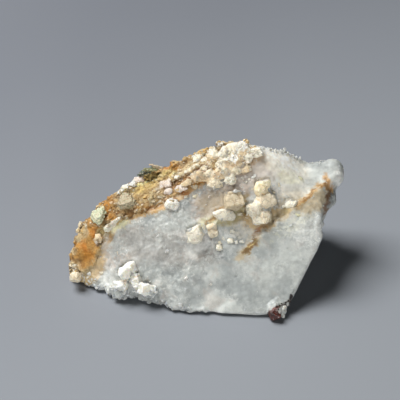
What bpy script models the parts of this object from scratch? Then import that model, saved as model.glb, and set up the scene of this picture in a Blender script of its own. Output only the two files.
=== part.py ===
"""Ruby in matrix: a hand specimen of white sugary rock with an iron-stained crust, cream and white
crystals, mica books and a ruby in its lower right corner.
Metres, +Z up, X to the right of the show face, Y to the back."""

import math
import random

import bmesh
import bpy
from mathutils import Matrix, Vector, noise
from mathutils.bvhtree import BVHTree

MM = 0.001
GAP = 0.3 * MM

# The broken block, before weathering: its corners in mm. The show face is the one with the low y values.
STONE_CORNERS = {
    "front_tip": (16.9, -15.8, 1.0),
    "tip_bulge": (19.7, -12.3, 3.6),
    "front_low": (10.6, -16.1, 0.5),
    "front_middle": (-4.8, -14.6, 0.9),
    "front_left": (-18.6, -9.7, 1.0),
    "left_foot": (-25.7, -6.0, 1.1),
    "left_toe": (-30.7, -4.2, 0.8),
    "left_end": (-31.5, -1.3, 3.2),
    "left_shoulder": (-29.0, 3.4, 7.5),
    "ridge_left": (-23.5, 0.0, 12.0),
    "ridge_low": (-16.4, 1.1, 17.6),
    "ridge_middle": (-8.7, 1.9, 20.8),
    "ridge_high": (0.3, 4.8, 25.8),
    "crest": (8.1, 7.3, 28.2),
    "skyline_left": (-22.8, 6.0, 14.5),
    "skyline_low": (-14.9, 8.6, 19.8),
    "skyline_middle": (-8.9, 10.5, 22.5),
    "skyline_high": (-1.2, 11.3, 25.4),
    "skyline_crest": (7.6, 10.6, 27.8),
    "skyline_right": (17.7, 11.9, 24.7),
    "skyline_far": (25.3, 13.2, 21.2),
    "right_top": (25.2, 4.0, 20.4),
    "right_edge": (25.0, -1.5, 16.2),
    "right_corner": (25.2, -5.9, 13.4),
    "right_side": (29.5, 5.6, 16.2),
    "right_back": (28.0, 13.0, 13.5),
    "back_left": (-21.0, 15.5, 10.5),
    "back_top": (4.0, 16.5, 21.5),
    "back_right": (24.0, 16.3, 9.0),
}
# The fracture that the stone rests on, at z = 0.
BASE_CORNERS = {
    "base_left": (-24.0, -0.5),
    "base_front_left": (-16.0, -6.5),
    "base_front": (-3.0, -10.8),
    "base_front_right": (11.0, -13.2),
    "base_tip": (14.8, -11.5),
    "base_right": (17.0, 3.5),
    "base_back_right": (12.0, 14.0),
    "base_back_left": (-18.0, 12.5),
}
BASE_DEPTH = 0.6

# A rounded glassy knob grows out of the far upper right: centre, half sizes, in mm.
KNOB_CENTRE = (26.2, 10.9, 19.3)
KNOB_HALF = (5.3, 5.0, 3.7)

# The stained crust is all that lies outside these two planes: an outward normal, and how far out, in mm.
SEAM_TOP = ((-0.42, 0.00, 0.91), 20.5)
SEAM_LEFT = ((-0.87, -0.10, 0.48), 23.8)
SEAM_WAVES = 0.45

# A brown vein runs up the show face to the right. The rock on its upper left broke off a step lower.
VEIN = ((-0.63, 0.45, 0.63), -0.5)
VEIN_STEP = 1.3

# Weathering: the voxel that the block is rebuilt at, and the share of its triangles that stay.
VOXEL = 0.8 * MM
NOISE_SEED = 7
STONE_KEEP = 0.17

# Crystals are placed as this eye sees them, mm right of and above the point that it looks at.
EYE_TILT = math.radians(35)
EYE_DISTANCE = 237.0
EYE_LOOKS_AT = (-1.17, -1.81, 20.97)
EYE_MIDDLE = (0.0, -4.0)

# Crystals that stand alone: place right and up, width, height and thickness, turn in degrees, cuts, finish.
CRYSTALS = {
    "cream_crystal_block": (7.1, 0.3, 4.3, 3.4, 3.2, 6, 5, "cream_crystal"),
    "cream_crystal_lens": (5.2, -3.4, 4.8, 2.2, 2.6, -4, 14, "cream_crystal"),
    "cream_crystal_round": (-1.1, -7.4, 3.5, 3.7, 2.8, 20, 16, "cream_crystal"),
    "cream_crystal_far": (19.4, -0.7, 2.8, 1.9, 2.2, 15, 9, "cream_crystal"),
    "cream_crystal_edge": (-5.5, -1.2, 3.1, 2.4, 2.4, -12, 9, "cream_crystal"),
    "cream_crystal_left": (-21.7, -8.5, 1.7, 2.1, 1.9, 10, 12, "cream_crystal"),
    "cream_crystal_toe": (-26.4, -15.3, 2.5, 1.9, 2.4, 20, 11, "cream_crystal"),
    "cream_crystal_bead": (6.5, -8.8, 1.5, 1.3, 1.5, 0, 12, "cream_crystal"),
    "cream_crystal_cube": (4.1, -10.0, 1.5, 1.4, 1.5, 8, 4, "cream_crystal"),
    "white_crystal_wing": (-10.3, -19.4, 3.8, 3.0, 3.2, -22, 8, "white_crystal"),
}

# Crystals grown together: each cluster's finish, and its pieces with place, size, turn and cuts as above.
CLUSTERS = {
    "cream_pair": (
        "cream_crystal",
        (
            (2.75, -5.6, 2.4, 1.6, 1.9, 8, 12),
            (2.8, -7.2, 2.3, 1.8, 1.9, 30, 10),
        ),
    ),
    "cream_cluster": (
        "cream_crystal",
        (
            (13.6, 2.9, 3.4, 3.3, 3.0, 10, 14),
            (14.4, -0.2, 4.4, 3.1, 3.2, 12, 6),
            (12.2, -1.9, 2.6, 2.2, 2.8, -30, 6),
            (10.9, -3.1, 3.1, 3.0, 2.8, -25, 5),
            (12.1, -4.5, 2.3, 1.9, 2.8, 8, 6),
            (14.3, -3.4, 2.4, 3.1, 3.0, 4, 5),
        ),
    ),
    "white_cluster": (
        "white_crystal",
        (
            (-15.2, -15.2, 4.2, 3.1, 3.6, 28, 4),
            (-14.6, -18.0, 2.8, 3.6, 3.4, 24, 5),
            (-17.2, -19.3, 3.6, 3.1, 3.2, 12, 9),
            (-15.9, -20.3, 1.9, 1.6, 2.4, 40, 8),
        ),
    ),
    "crest_crystals": (
        "cream_crystal",
        (
            (8.8, 10.8, 3.3, 3.0, 3.0, 5, 12),
            (11.7, 10.2, 2.5, 2.1, 2.4, 20, 9),
            (4.5, 10.9, 3.2, 2.1, 2.6, 0, 12),
            (6.5, 10.6, 2.4, 2.2, 2.4, 40, 6),
            (2.9, 10.1, 2.6, 2.2, 2.4, 15, 9),
            (0.6, 10.3, 2.1, 1.6, 2.2, 10, 12),
            (-0.8, 8.9, 2.8, 2.2, 2.2, 32, 6),
            (8.9, 9.8, 2.6, 2.0, 2.2, 0, 9),
            (10.3, 9.0, 2.0, 1.8, 2.0, 30, 9),
            (7.4, 8.8, 2.5, 2.2, 2.4, 50, 7),
            (5.2, 9.4, 2.5, 2.0, 2.2, 20, 9),
            (2.6, 9.0, 2.7, 2.0, 2.2, 28, 7),
            (6.4, 7.5, 2.9, 2.3, 2.4, 35, 7),
            (4.4, 7.7, 2.2, 1.9, 2.0, 10, 9),
            (8.6, 7.9, 1.9, 1.7, 2.0, 0, 9),
            (7.7, 6.3, 2.2, 1.8, 2.2, 25, 9),
            (9.7, 6.7, 2.0, 1.5, 1.8, 14, 12),
            (5.8, 6.0, 2.0, 1.7, 2.0, 45, 9),
            (6.5, 4.6, 2.2, 2.0, 2.0, 0, 16),
            (3.9, 5.4, 2.3, 2.0, 2.2, 20, 9),
            (2.0, 5.8, 2.0, 1.8, 2.0, 60, 9),
            (0.2, 4.5, 2.7, 2.1, 2.4, 12, 8),
            (3.3, 3.5, 3.2, 1.5, 2.0, -6, 9),
        ),
    ),
}
# How far a crystal's middle stands above the skin, as a share of its thickness.
CRYSTAL_RISE = 0.17
CLUSTER_VOXEL = 0.36 * MM
CLUSTER_KEEP = 0.095

# Mica books: place right and up, width, height, sheet thickness, sheets, turn, lean right and lean back.
MICA_BOOKS = {
    "mica_book_left": (-21.4, -3.6, 3.4, 4.3, 0.42, 4, 10, -25, 10),
    "mica_book_middle": (-15.6, -0.5, 4.1, 4.2, 0.45, 4, 40, 10, 15),
    "mica_book_edge": (-18.9, -5.2, 6.8, 3.2, 0.30, 2, 24, 0, 70),
    "mica_book_skyline": (-9.9, 6.1, 5.6, 3.0, 0.36, 3, 28, -8, 14),
}

# The ruby: a six-sided barrel from its visible end back along the lower right edge, in mm.
RUBY_ENDS = ((14.5, -17.3, 1.5), (15.7, -11.9, 1.75))
RUBY_RADIUS = 1.25

COLOURS = {
    "white_rock": ((0.62, 0.64, 0.62), 0.55),
    "stained_crust": ((0.50, 0.31, 0.13), 0.85),
    "cream_crystal": ((0.74, 0.66, 0.49), 0.6),
    "white_crystal": ((0.80, 0.80, 0.74), 0.5),
    "green_mica": ((0.30, 0.32, 0.20), 0.35),
    "ruby": ((0.22, 0.02, 0.03), 0.25),
}


def clear_scene():
    for thing in list(bpy.data.objects):
        bpy.data.objects.remove(thing)


def new_collection(name):
    made = bpy.data.collections.new(name)
    bpy.context.scene.collection.children.link(made)
    return made


def finish_of(name):
    """The named colour as a Principled material, made once."""
    found = bpy.data.materials.get(name)
    if found:
        return found
    rgb, roughness = COLOURS[name]
    made = bpy.data.materials.new(name)
    made.use_nodes = True
    shader = made.node_tree.nodes["Principled BSDF"]
    shader.inputs["Base Color"].default_value = (*rgb, 1.0)
    shader.inputs["Roughness"].default_value = roughness
    shader.inputs["Metallic"].default_value = 0.0
    return made


def put(name, mesh, collection, finish=None):
    """A named object of this mesh in the collection."""
    thing = bpy.data.objects.new(name, mesh)
    collection.objects.link(thing)
    if finish:
        mesh.materials.clear()
        mesh.materials.append(finish_of(finish))
    return thing


def as_cutter(thing):
    thing.hide_render = True
    thing.display_type = "WIRE"
    return thing


def mesh_of(name, shape):
    """The bmesh as a new mesh, its faces pointing out."""
    bmesh.ops.recalc_face_normals(shape, faces=shape.faces[:])
    if shape.calc_volume(signed=True) < 0:
        bmesh.ops.reverse_faces(shape, faces=shape.faces[:])
    mesh = bpy.data.meshes.new(name)
    shape.to_mesh(mesh)
    shape.free()
    return mesh


def evaluated_mesh(thing):
    """The object's mesh with its modifiers applied."""
    bpy.context.view_layer.update()
    graph = bpy.context.evaluated_depsgraph_get()
    return bpy.data.meshes.new_from_object(thing.evaluated_get(graph))


def boolean(thing, other, operation):
    cut = thing.modifiers.new(operation.title(), "BOOLEAN")
    cut.operation = operation
    cut.object = other
    cut.solver = "EXACT"


def remesh(thing, voxel):
    made = thing.modifiers.new("Rebuild", "REMESH")
    made.mode = "VOXEL"
    made.voxel_size = voxel


def decimate(thing, ratio):
    made = thing.modifiers.new("Fewer faces", "DECIMATE")
    made.ratio = ratio


def push_skin(thing, height):
    """Applies the object's modifiers and moves each vertex outwards by height(place), both in mm."""
    shape = bmesh.new()
    shape.from_mesh(evaluated_mesh(thing))
    pushes = []
    for vertex in shape.verts:
        outwards = sum((face.normal * face.calc_area() for face in vertex.link_faces), Vector())
        pushes.append(outwards.normalized() * height(vertex.co / MM) * MM)
    for vertex, push in zip(shape.verts, pushes):
        vertex.co += push
    thing.modifiers.clear()
    thing.data = mesh_of(thing.name, shape)


def largest_piece(thing):
    """Applies the object's modifiers and keeps its largest body, without the crumbs that a cut leaves."""
    shape = bmesh.new()
    shape.from_mesh(evaluated_mesh(thing))
    left = set(shape.verts)
    bodies = []
    while left:
        reached = [left.pop()]
        body = set(reached)
        while reached:
            for edge in reached.pop().link_edges:
                for vertex in edge.verts:
                    if vertex in left:
                        left.discard(vertex)
                        body.add(vertex)
                        reached.append(vertex)
        bodies.append(body)
    bodies.sort(key=len)
    for body in bodies[:-1]:
        bmesh.ops.delete(shape, geom=list(body), context="VERTS")
    shape.to_mesh(thing.data)
    shape.free()
    thing.modifiers.clear()
    return thing


def slice_off(shape, point, normal):
    """Cuts away what lies beyond the plane and closes the cut with one flat face."""
    everything = shape.verts[:] + shape.edges[:] + shape.faces[:]
    cut = bmesh.ops.bisect_plane(
        shape, geom=everything, dist=1e-7, plane_co=point, plane_no=normal, clear_outer=True
    )
    rim = [edge for edge in cut["geom_cut"] if isinstance(edge, bmesh.types.BMEdge)]
    if rim:
        bmesh.ops.edgeloop_fill(shape, edges=rim)


def ramp(low, high, value):
    """0 below low, 1 above high, and smooth between."""
    share = min(1.0, max(0.0, (value - low) / (high - low)))
    return share * share * (3 - 2 * share)


# The stone


def outside_seam(point):
    """How far this point, in mm, lies outside the seam, in the crust's direction."""
    return max(Vector(normal).normalized().dot(point) - far for normal, far in (SEAM_TOP, SEAM_LEFT))


def skin_height(point):
    """How far weathering and crystal grain push the skin out at this point of the block, in mm."""
    crust = ramp(-0.5, 1.0, outside_seam(point))
    sheared = ramp(3.0, 12.0, point.x + 0.35 * point.z) * (1 - crust)
    swell = noise.fractal(point / 13.0, 1.0, 2.0, 3)
    bent = point + 1.6 * noise.noise_vector(point / 5.0)
    near, far = noise.voronoi(bent / 4.2)[0][:2]
    grain = ramp(0.0, 0.4, far - near) - 0.6
    height = 0.9 * swell + 0.4 * grain * (1 - 0.8 * sheared)
    height = height * (1 - 0.55 * sheared) + crust * (0.3 * grain + 0.8 * noise.noise(point / 3.1))
    normal, far_off = VEIN
    above_vein = Vector(normal).normalized().dot(point) - far_off
    broken_off = ramp(-0.6, 0.5, above_vein) * (1 - ramp(3.0, 11.0, above_vein))
    height -= VEIN_STEP * broken_off * ramp(4.0, 18.0, point.x) * ramp(8.0, 11.0, point.z)
    return height * ramp(-0.3, 1.8, point.z)


def block():
    """The broken block with its knob, with flat faces and sharp corners."""
    shape = bmesh.new()
    for corner in STONE_CORNERS.values():
        shape.verts.new(Vector(corner) * MM)
    for x, y in BASE_CORNERS.values():
        shape.verts.new(Vector((x, y, -BASE_DEPTH)) * MM)
    hull = bmesh.ops.convex_hull(shape, input=shape.verts[:])
    inner = [v for v in hull["geom_interior"] if isinstance(v, bmesh.types.BMVert)]
    bmesh.ops.delete(shape, geom=inner, context="VERTS")
    knob = Matrix.Diagonal((*[half * MM for half in KNOB_HALF], 1))
    knob = Matrix.Translation(Vector(KNOB_CENTRE) * MM) @ knob
    bmesh.ops.create_icosphere(shape, subdivisions=3, radius=1.0, matrix=knob)
    return mesh_of("block", shape)


def weathered_stone(collection):
    """The whole stone, crust and all, with its relief and its flat base."""
    stone = as_cutter(put("stone", block(), collection))
    remesh(stone, VOXEL)
    push_skin(stone, skin_height)
    decimate(stone, STONE_KEEP)
    shape = bmesh.new()
    shape.from_mesh(evaluated_mesh(stone))
    slice_off(shape, Vector((0, 0, 0)), Vector((0, 0, -1)))
    bmesh.ops.triangulate(shape, faces=shape.faces[:])
    stone.modifiers.clear()
    stone.data = mesh_of("stone", shape)
    return stone


def seam_zone(name, inset, collection):
    """All that lies inside the seam, as one block with a slightly wavy skin, drawn in by inset."""
    shape = bmesh.new()
    bmesh.ops.create_cube(shape, size=110 * MM)
    for normal, far in (SEAM_TOP, SEAM_LEFT):
        out = Vector(normal).normalized()
        slice_off(shape, out * (far * MM - inset), out)
    zone = as_cutter(put(name, mesh_of(name, shape), collection))
    remesh(zone, 2.0 * MM)
    push_skin(zone, lambda point: noise.noise(point / 5.5) * SEAM_WAVES)
    return zone


def grown_stone(stone, collection):
    """The stone a gap larger all round, which cuts the crystals that sit on it."""
    grown = as_cutter(put("grown_stone", stone.data.copy(), collection))
    remesh(grown, 0.4 * MM)
    push_skin(grown, lambda point: 1.8 * GAP / MM)
    remesh(grown, 0.5 * MM)
    decimate(grown, 0.12)
    grown.data = evaluated_mesh(grown)
    grown.modifiers.clear()
    return grown


# What sits on the stone


def line_of_sight():
    """The eye's right, up and forward directions, and its place."""
    forward = Vector((0, math.cos(EYE_TILT), -math.sin(EYE_TILT)))
    up = Vector((0, math.sin(EYE_TILT), math.cos(EYE_TILT)))
    return Vector((1, 0, 0)), up, forward, Vector(EYE_LOOKS_AT) * MM - forward * EYE_DISTANCE * MM


def seat(skin, right, up):
    """Where the eye sees the stone at this place, as a matrix: Z is the skin's normal and Y is upwards.
    A place just outside the outline takes the skin of the nearest rim towards the middle."""
    across, upward, forward, eye = line_of_sight()
    wanted = across * right + upward * up
    inward = (across * EYE_MIDDLE[0] + upward * EYE_MIDDLE[1] - wanted).normalized()
    for step in range(10):
        aim = Vector(EYE_LOOKS_AT) + wanted + inward * 0.25 * step
        point, normal, _, _ = skin.ray_cast(eye, (aim * MM - eye).normalized())
        if point is not None:
            break
    else:
        raise ValueError(f"the eye sees no stone near {right}, {up}")
    point -= inward * 0.25 * step * MM
    for offset in (across, -across, upward, -upward):
        normal = normal + skin.find_nearest(point + offset * 1.2 * MM)[1]
    normal.normalize()
    side = upward.cross(normal).normalized()
    turned = Matrix((side, normal.cross(side), normal)).transposed()
    return Matrix.Translation(point) @ turned.to_4x4()


def chipped_block(size, cuts, seed):
    """A crystal with flat faces: a box in mm whose edges and corners are broken off by flat cuts."""
    draw = random.Random(seed)
    half = [0.5 * side * MM for side in size]
    shape = bmesh.new()
    bmesh.ops.create_cube(shape, size=1.0, matrix=Matrix.Diagonal((*[side * MM for side in size], 1)))
    for _ in range(cuts):
        out = Vector([draw.gauss(0, 1) for _ in range(3)]).normalized()
        reach = math.sqrt(sum((out[axis] * half[axis]) ** 2 for axis in range(3)))
        slice_off(shape, out * reach * draw.uniform(0.98, 1.15), out)
    return shape


def add_crystal(shape, skin, place, size, turn, cuts, seed):
    """Adds one crystal to shape, nearly half buried in the skin and clear of the ground."""
    block_shape = chipped_block(size, cuts, seed)
    rise = Matrix.Translation((0, 0, CRYSTAL_RISE * size[2] * MM))
    block_shape.transform(seat(skin, *place) @ rise @ Matrix.Rotation(math.radians(turn), 4, "Z"))
    slice_off(block_shape, Vector((0, 0, GAP)), Vector((0, 0, -1)))
    mesh = mesh_of("crystal", block_shape)
    shape.from_mesh(mesh)
    bpy.data.meshes.remove(mesh)


def lone_crystals(skin, grown, parts):
    for seed, (name, row) in enumerate(CRYSTALS.items()):
        right, up, width, height, thick, turn, cuts, finish = row
        shape = bmesh.new()
        add_crystal(shape, skin, (right, up), (width, height, thick), turn, cuts, seed + 11)
        crystal = put(name, mesh_of(name, shape), parts, finish)
        boolean(crystal, grown, "DIFFERENCE")
        largest_piece(crystal)


def clusters(skin, grown, parts):
    """Each cluster as one solid, cut clear of the stone."""
    for name, (finish, pieces) in CLUSTERS.items():
        shape = bmesh.new()
        for seed, (right, up, width, height, thick, turn, cuts) in enumerate(pieces):
            add_crystal(shape, skin, (right, up), (width, height, thick), turn, cuts, seed + 41)
        cluster = put(name, mesh_of(name, shape), parts, finish)
        remesh(cluster, CLUSTER_VOXEL)
        decimate(cluster, CLUSTER_KEEP)
        boolean(cluster, grown, "DIFFERENCE")
        largest_piece(cluster)


def mica_book(name, width, height, sheet, sheets, seed):
    """A book of thin sheets, each a little smaller than the one under it."""
    draw = random.Random(seed)
    shape = bmesh.new()
    half = 0.5 * MM
    bmesh.ops.create_cone(shape, segments=7, radius1=half, radius2=half, depth=sheet * MM, cap_ends=True)
    for vertex in shape.verts:
        reach = 0.9 + 0.16 * math.sin(3 * math.atan2(vertex.co.y, vertex.co.x) + seed)
        vertex.co.x *= width * reach
        vertex.co.y *= height * reach
    for _ in range(sheets - 1):
        shape.normal_update()
        top = max(shape.faces, key=lambda face: face.calc_center_median().z)
        bmesh.ops.inset_region(shape, faces=[top], thickness=0.22 * MM)
        raised = bmesh.ops.extrude_face_region(shape, geom=[top])
        corners = [v for v in raised["geom"] if isinstance(v, bmesh.types.BMVert)]
        slide = Vector((draw.uniform(-0.1, 0.1), draw.uniform(-0.1, 0.1), sheet)) * MM
        bmesh.ops.translate(shape, verts=corners, vec=slide)
        bmesh.ops.delete(shape, geom=[top], context="FACES_ONLY")
    return shape


def mica_books(skin, grown, parts):
    for seed, (name, row) in enumerate(MICA_BOOKS.items()):
        right, up, width, height, sheet, sheets, turn, lean, tip = row
        shape = mica_book(name, width, height, sheet, sheets, seed)
        pose = Matrix.Rotation(math.radians(lean), 4, "Y") @ Matrix.Rotation(math.radians(tip), 4, "X")
        pose = Matrix.Rotation(math.radians(turn), 4, "Z") @ pose
        shape.transform(seat(skin, right, up) @ Matrix.Translation((0, 0, 0.7 * MM)) @ pose)
        book = put(name, mesh_of(name, shape), parts, "green_mica")
        boolean(book, grown, "DIFFERENCE")
        largest_piece(book)


def ruby_barrel(name, spare, collection):
    """The six-sided ruby with three slanted faces at each end, spare larger all round."""
    start, end = (Vector(place) * MM for place in RUBY_ENDS)
    radius = RUBY_RADIUS * MM + spare
    half = (end - start).length / 2 + spare
    shape = bmesh.new()
    bmesh.ops.create_cube(shape, size=4 * half)
    for step in range(6):
        out = Vector((math.cos(step * math.pi / 3), math.sin(step * math.pi / 3), 0))
        slice_off(shape, out * radius, out)
    for way in (-1, 1):
        slice_off(shape, Vector((0, 0, way * half)), Vector((0, 0, way)))
        for step in range(3):
            turn = (2 * step + (way > 0)) * math.pi / 3
            out = Vector((math.cos(turn), math.sin(turn), 0.64 * way)).normalized()
            slice_off(shape, Vector((0.62 * radius * out.x, 0.62 * radius * out.y, way * half)), out)
    along = (end - start).to_track_quat("Z", "Y").to_matrix().to_4x4()
    shape.transform(Matrix.Translation((start + end) / 2) @ along)
    return put(name, mesh_of(name, shape), collection)


def rest_on_base_centre(parts):
    """Moves every part so that the origin is the middle of the bottom of the whole."""
    bpy.context.view_layer.update()
    corners = [part.matrix_world @ Vector(corner) for part in parts.objects for corner in part.bound_box]
    low = [min(corner[axis] for corner in corners) for axis in range(3)]
    high = [max(corner[axis] for corner in corners) for axis in range(3)]
    shift = Vector((-(low[0] + high[0]) / 2, -(low[1] + high[1]) / 2, -low[2]))
    for part in parts.objects:
        part.data.transform(Matrix.Translation(shift))
    print("moved by", [round(value / MM, 3) for value in shift], "mm")


def main():
    noise.seed_set(NOISE_SEED)
    clear_scene()
    parts = new_collection("Ruby in matrix")
    cutters = new_collection("Cutters")
    stone = weathered_stone(cutters)
    grown = grown_stone(stone, cutters)
    skin = BVHTree.FromObject(stone, bpy.context.evaluated_depsgraph_get())

    ruby = ruby_barrel("ruby_crystal", 0.0, parts)
    ruby.data.materials.append(finish_of("ruby"))
    matrix = put("matrix", stone.data.copy(), parts, "white_rock")
    boolean(matrix, seam_zone("inside_seam", 0.5 * GAP, cutters), "INTERSECT")
    boolean(matrix, as_cutter(ruby_barrel("ruby_pocket", GAP, cutters)), "DIFFERENCE")
    largest_piece(matrix)
    crust = put("iron_stained_crust", stone.data.copy(), parts, "stained_crust")
    boolean(crust, seam_zone("outside_seam", -0.5 * GAP, cutters), "DIFFERENCE")
    largest_piece(crust)

    lone_crystals(skin, grown, parts)
    clusters(skin, grown, parts)
    mica_books(skin, grown, parts)
    rest_on_base_centre(parts)


main()
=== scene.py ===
"""A wedge of sugary white rock with an iron-stained crust, cream and white crystals and the end of a ruby."""
import math
import random

import bpy
import numpy as np
from mathutils import Matrix, Vector, noise
from mathutils.bvhtree import BVHTree


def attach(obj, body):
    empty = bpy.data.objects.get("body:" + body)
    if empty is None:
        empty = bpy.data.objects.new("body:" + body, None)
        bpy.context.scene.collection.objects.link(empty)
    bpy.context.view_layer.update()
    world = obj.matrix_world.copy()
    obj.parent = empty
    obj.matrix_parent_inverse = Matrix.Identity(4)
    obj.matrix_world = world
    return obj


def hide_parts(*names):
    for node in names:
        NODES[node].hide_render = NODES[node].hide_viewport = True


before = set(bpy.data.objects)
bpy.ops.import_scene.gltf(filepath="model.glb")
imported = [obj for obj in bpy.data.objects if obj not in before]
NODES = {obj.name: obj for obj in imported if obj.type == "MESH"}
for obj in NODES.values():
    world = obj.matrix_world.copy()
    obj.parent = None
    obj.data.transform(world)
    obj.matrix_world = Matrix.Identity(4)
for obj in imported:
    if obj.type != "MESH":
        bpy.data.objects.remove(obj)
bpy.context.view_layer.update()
noise.seed_set(11)  # the same noise each run

MM = 0.001

# The eye: what it looks at, how far off it stands, and how far it looks down.
AIM = Vector((-1.511, -1.305, 20.97)) * MM
TILT = math.radians(35)
DISTANCE = 237 * MM
RIGHT = Vector((1, 0, 0))
UP = Vector((0, math.sin(TILT), math.cos(TILT)))
INTO = Vector((0, math.cos(TILT), -math.sin(TILT)))
EYE = AIM - INTO * DISTANCE
DOT = 0.2133 * MM  # one dot of the picture, at the place the eye looks at
MIDDLE = 200  # the picture's middle, in dots right and down
STONE_MIDDLE = (205, 225)

# The crust lies outside these planes, and the brown vein follows the third: normal and distance in mm.
SEAM_TOP = (Vector((-0.42, 0.00, 0.91)), 20.64)
SEAM_LEFT = (Vector((-0.87, -0.10, 0.48)), 24.04)
VEIN = (Vector((-0.63, 0.45, 0.63)), -0.06)

# Colours of the maker's palette, as the eye reads them in daylight.
PALETTE = {
    "snow": (238, 238, 232), "frost": (252, 248, 236), "chalk": (226, 227, 221), "pearl": (236, 231, 214),
    "milk": (200, 203, 197), "smoke": (168, 172, 169), "slate": (120, 124, 124), "mauve": (190, 178, 166),
    "putty": (186, 171, 141), "rust": (172, 104, 52), "orange": (204, 144, 66), "ochre": (194, 152, 92),
    "honey": (202, 170, 114), "umber": (122, 88, 54), "bark": (72, 50, 34), "olive": (156, 136, 84),
    "moss": (226, 222, 184), "leaf": (150, 152, 112), "beige": (202, 188, 160), "cream": (234, 222, 196),
    "ivory": (244, 238, 218), "peach": (234, 212, 176), "butter": (252, 238, 204), "yellow": (244, 224, 160),
    "blush": (226, 212, 200), "claret": (112, 52, 44), "pine": (84, 98, 84), "sage": (212, 216, 184),
    "khaki": (186, 174, 142),
}


def tone(name):
    """A palette colour as linear light."""
    return tuple((c / 255 / 12.92) if c < 11 else ((c / 255 + 0.055) / 1.055) ** 2.4 for c in PALETTE[name])


# Working by hand.

WEIGHT_STEPS = 150


def select(*things):
    """Selects just these things. The first is the active one."""
    bpy.ops.object.select_all(action="DESELECT")
    for thing in things:
        thing.select_set(True)
    bpy.context.view_layer.objects.active = things[0]


def join(things):
    """Joins the things into the first of them."""
    select(*things)
    if len(things) > 1:
        bpy.ops.object.join()
    return bpy.context.object


def modify(thing, kind, **settings):
    """Adds a modifier and applies it."""
    modifier = thing.modifiers.new(kind.title(), kind)
    for name, value in settings.items():
        setattr(modifier, name, value)
    select(thing)
    bpy.ops.object.modifier_apply(modifier=modifier.name)


def remesh(thing, size):
    """Melts the thing into one closed skin with cells of that size in mm."""
    modify(thing, "REMESH", mode="VOXEL", voxel_size=size * MM)


def soften(thing, times, group=""):
    """Smooths the skin that many times."""
    modify(thing, "SMOOTH", factor=0.5, iterations=times, vertex_group=group)


def merged_copy(name, nodes):
    """One loose mesh of these solids, with their shared corners merged."""
    copies = []
    for node in nodes:
        copy = bpy.data.objects.new(name, NODES[node].data.copy())
        copy.data.materials.clear()
        bpy.context.scene.collection.objects.link(copy)
        copies.append(copy)
    join(copies)
    bpy.ops.object.mode_set(mode="EDIT")
    bpy.ops.mesh.select_all(action="SELECT")
    bpy.ops.mesh.remove_doubles(threshold=0.002 * MM)
    bpy.ops.object.mode_set(mode="OBJECT")
    return bpy.context.object


def joined(things, name):
    """The things as one object of that name."""
    made = join(things)
    made.name = name
    made.data.name = name
    return made


def handed_over(thing, finish, slot, *nodes):
    """Gives a finished piece its material, the body it rides on and the solids it stands for. The slot is not
    used.
    """
    thing.data.materials.clear()
    thing.data.materials.append(finish)
    if nodes:
        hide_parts(*nodes)
    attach(thing, "root")
    return thing


def pattern(name, kind, size, **settings):
    """A relief pattern of that size in mm, for the Displace modifier."""
    made = bpy.data.textures.new(name, kind)
    made.noise_scale = size * MM
    for key, value in settings.items():
        setattr(made, key, value)
    return made


def relief(thing, texture, height, group="", mid=0.5):
    """Raises the skin by the pattern, height in mm from its lowest to its highest."""
    modify(thing, "DISPLACE", texture=texture, texture_coords="LOCAL", strength=height * MM, mid_level=mid,
           vertex_group=group)


def reliefs(thing, rows):
    """Several reliefs, one after the other: pattern, height, vertex group and middle level."""
    for texture, height, group, mid in rows:
        relief(thing, texture, height, group, mid)


def swell(thing, height):
    """Moves the whole skin out by height in mm."""
    modify(thing, "DISPLACE", strength=height * MM, mid_level=0.0)


def not_below(thing, height):
    """Lifts every corner that lies under that height in mm."""
    places = np.zeros(len(thing.data.vertices) * 3)
    thing.data.vertices.foreach_get("co", places)
    places[2::3] = np.maximum(places[2::3], height * MM)
    thing.data.vertices.foreach_set("co", places)
    thing.data.update()


def skin_points(thing):
    """The corners of the mesh and their normals, as arrays."""
    count = len(thing.data.vertices)
    points = np.zeros(count * 3)
    thing.data.vertices.foreach_get("co", points)
    normals = np.zeros(count * 3)
    thing.data.vertices.foreach_get("normal", normals)
    return points.reshape(-1, 3), normals.reshape(-1, 3)


def skin_tree(*things):
    """A tree of these meshes for casting rays."""
    corners, faces = [], []
    for thing in things:
        first = len(corners)
        corners += [v.co.copy() for v in thing.data.vertices]
        faces += [[first + i for i in p.vertices] for p in thing.data.polygons]
    return BVHTree.FromPolygons(corners, faces)


def group_of(thing, name, weights):
    """A vertex group with a weight for each corner, in fine steps."""
    group = thing.vertex_groups.new(name=name)
    steps = np.round(np.clip(weights, 0, 1) * WEIGHT_STEPS).astype(int)
    for step in np.unique(steps[steps > 0]):
        group.add(np.nonzero(steps == step)[0].tolist(), step / WEIGHT_STEPS, "REPLACE")


def keep_values(thing, name, values):
    """Keeps a number for each corner as an attribute."""
    kept = thing.data.attributes.new(name, "FLOAT", "POINT")
    kept.data.foreach_set("value", values.astype(np.float32))


def keep_tint(thing, colours):
    """Keeps a colour for each corner as the attribute "tint", with how much of it in the alpha."""
    tint = thing.data.attributes.new("tint", "FLOAT_COLOR", "POINT")
    tint.data.foreach_set("color", colours.astype(np.float32).ravel())


# Places seen by the eye.

def in_picture(points):
    """Where the eye sees these points, in dots from the picture's upper left corner."""
    away = points - np.array(EYE)
    scale = DISTANCE / (away @ np.array(INTO)) / DOT
    return MIDDLE + (away @ np.array(RIGHT)) * scale, MIDDLE - (away @ np.array(UP)) * scale


def sight(px, py):
    """The eye's direction towards a dot of the picture."""
    return (INTO * DISTANCE + RIGHT * (px - MIDDLE) * DOT + UP * (MIDDLE - py) * DOT).normalized()


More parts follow.
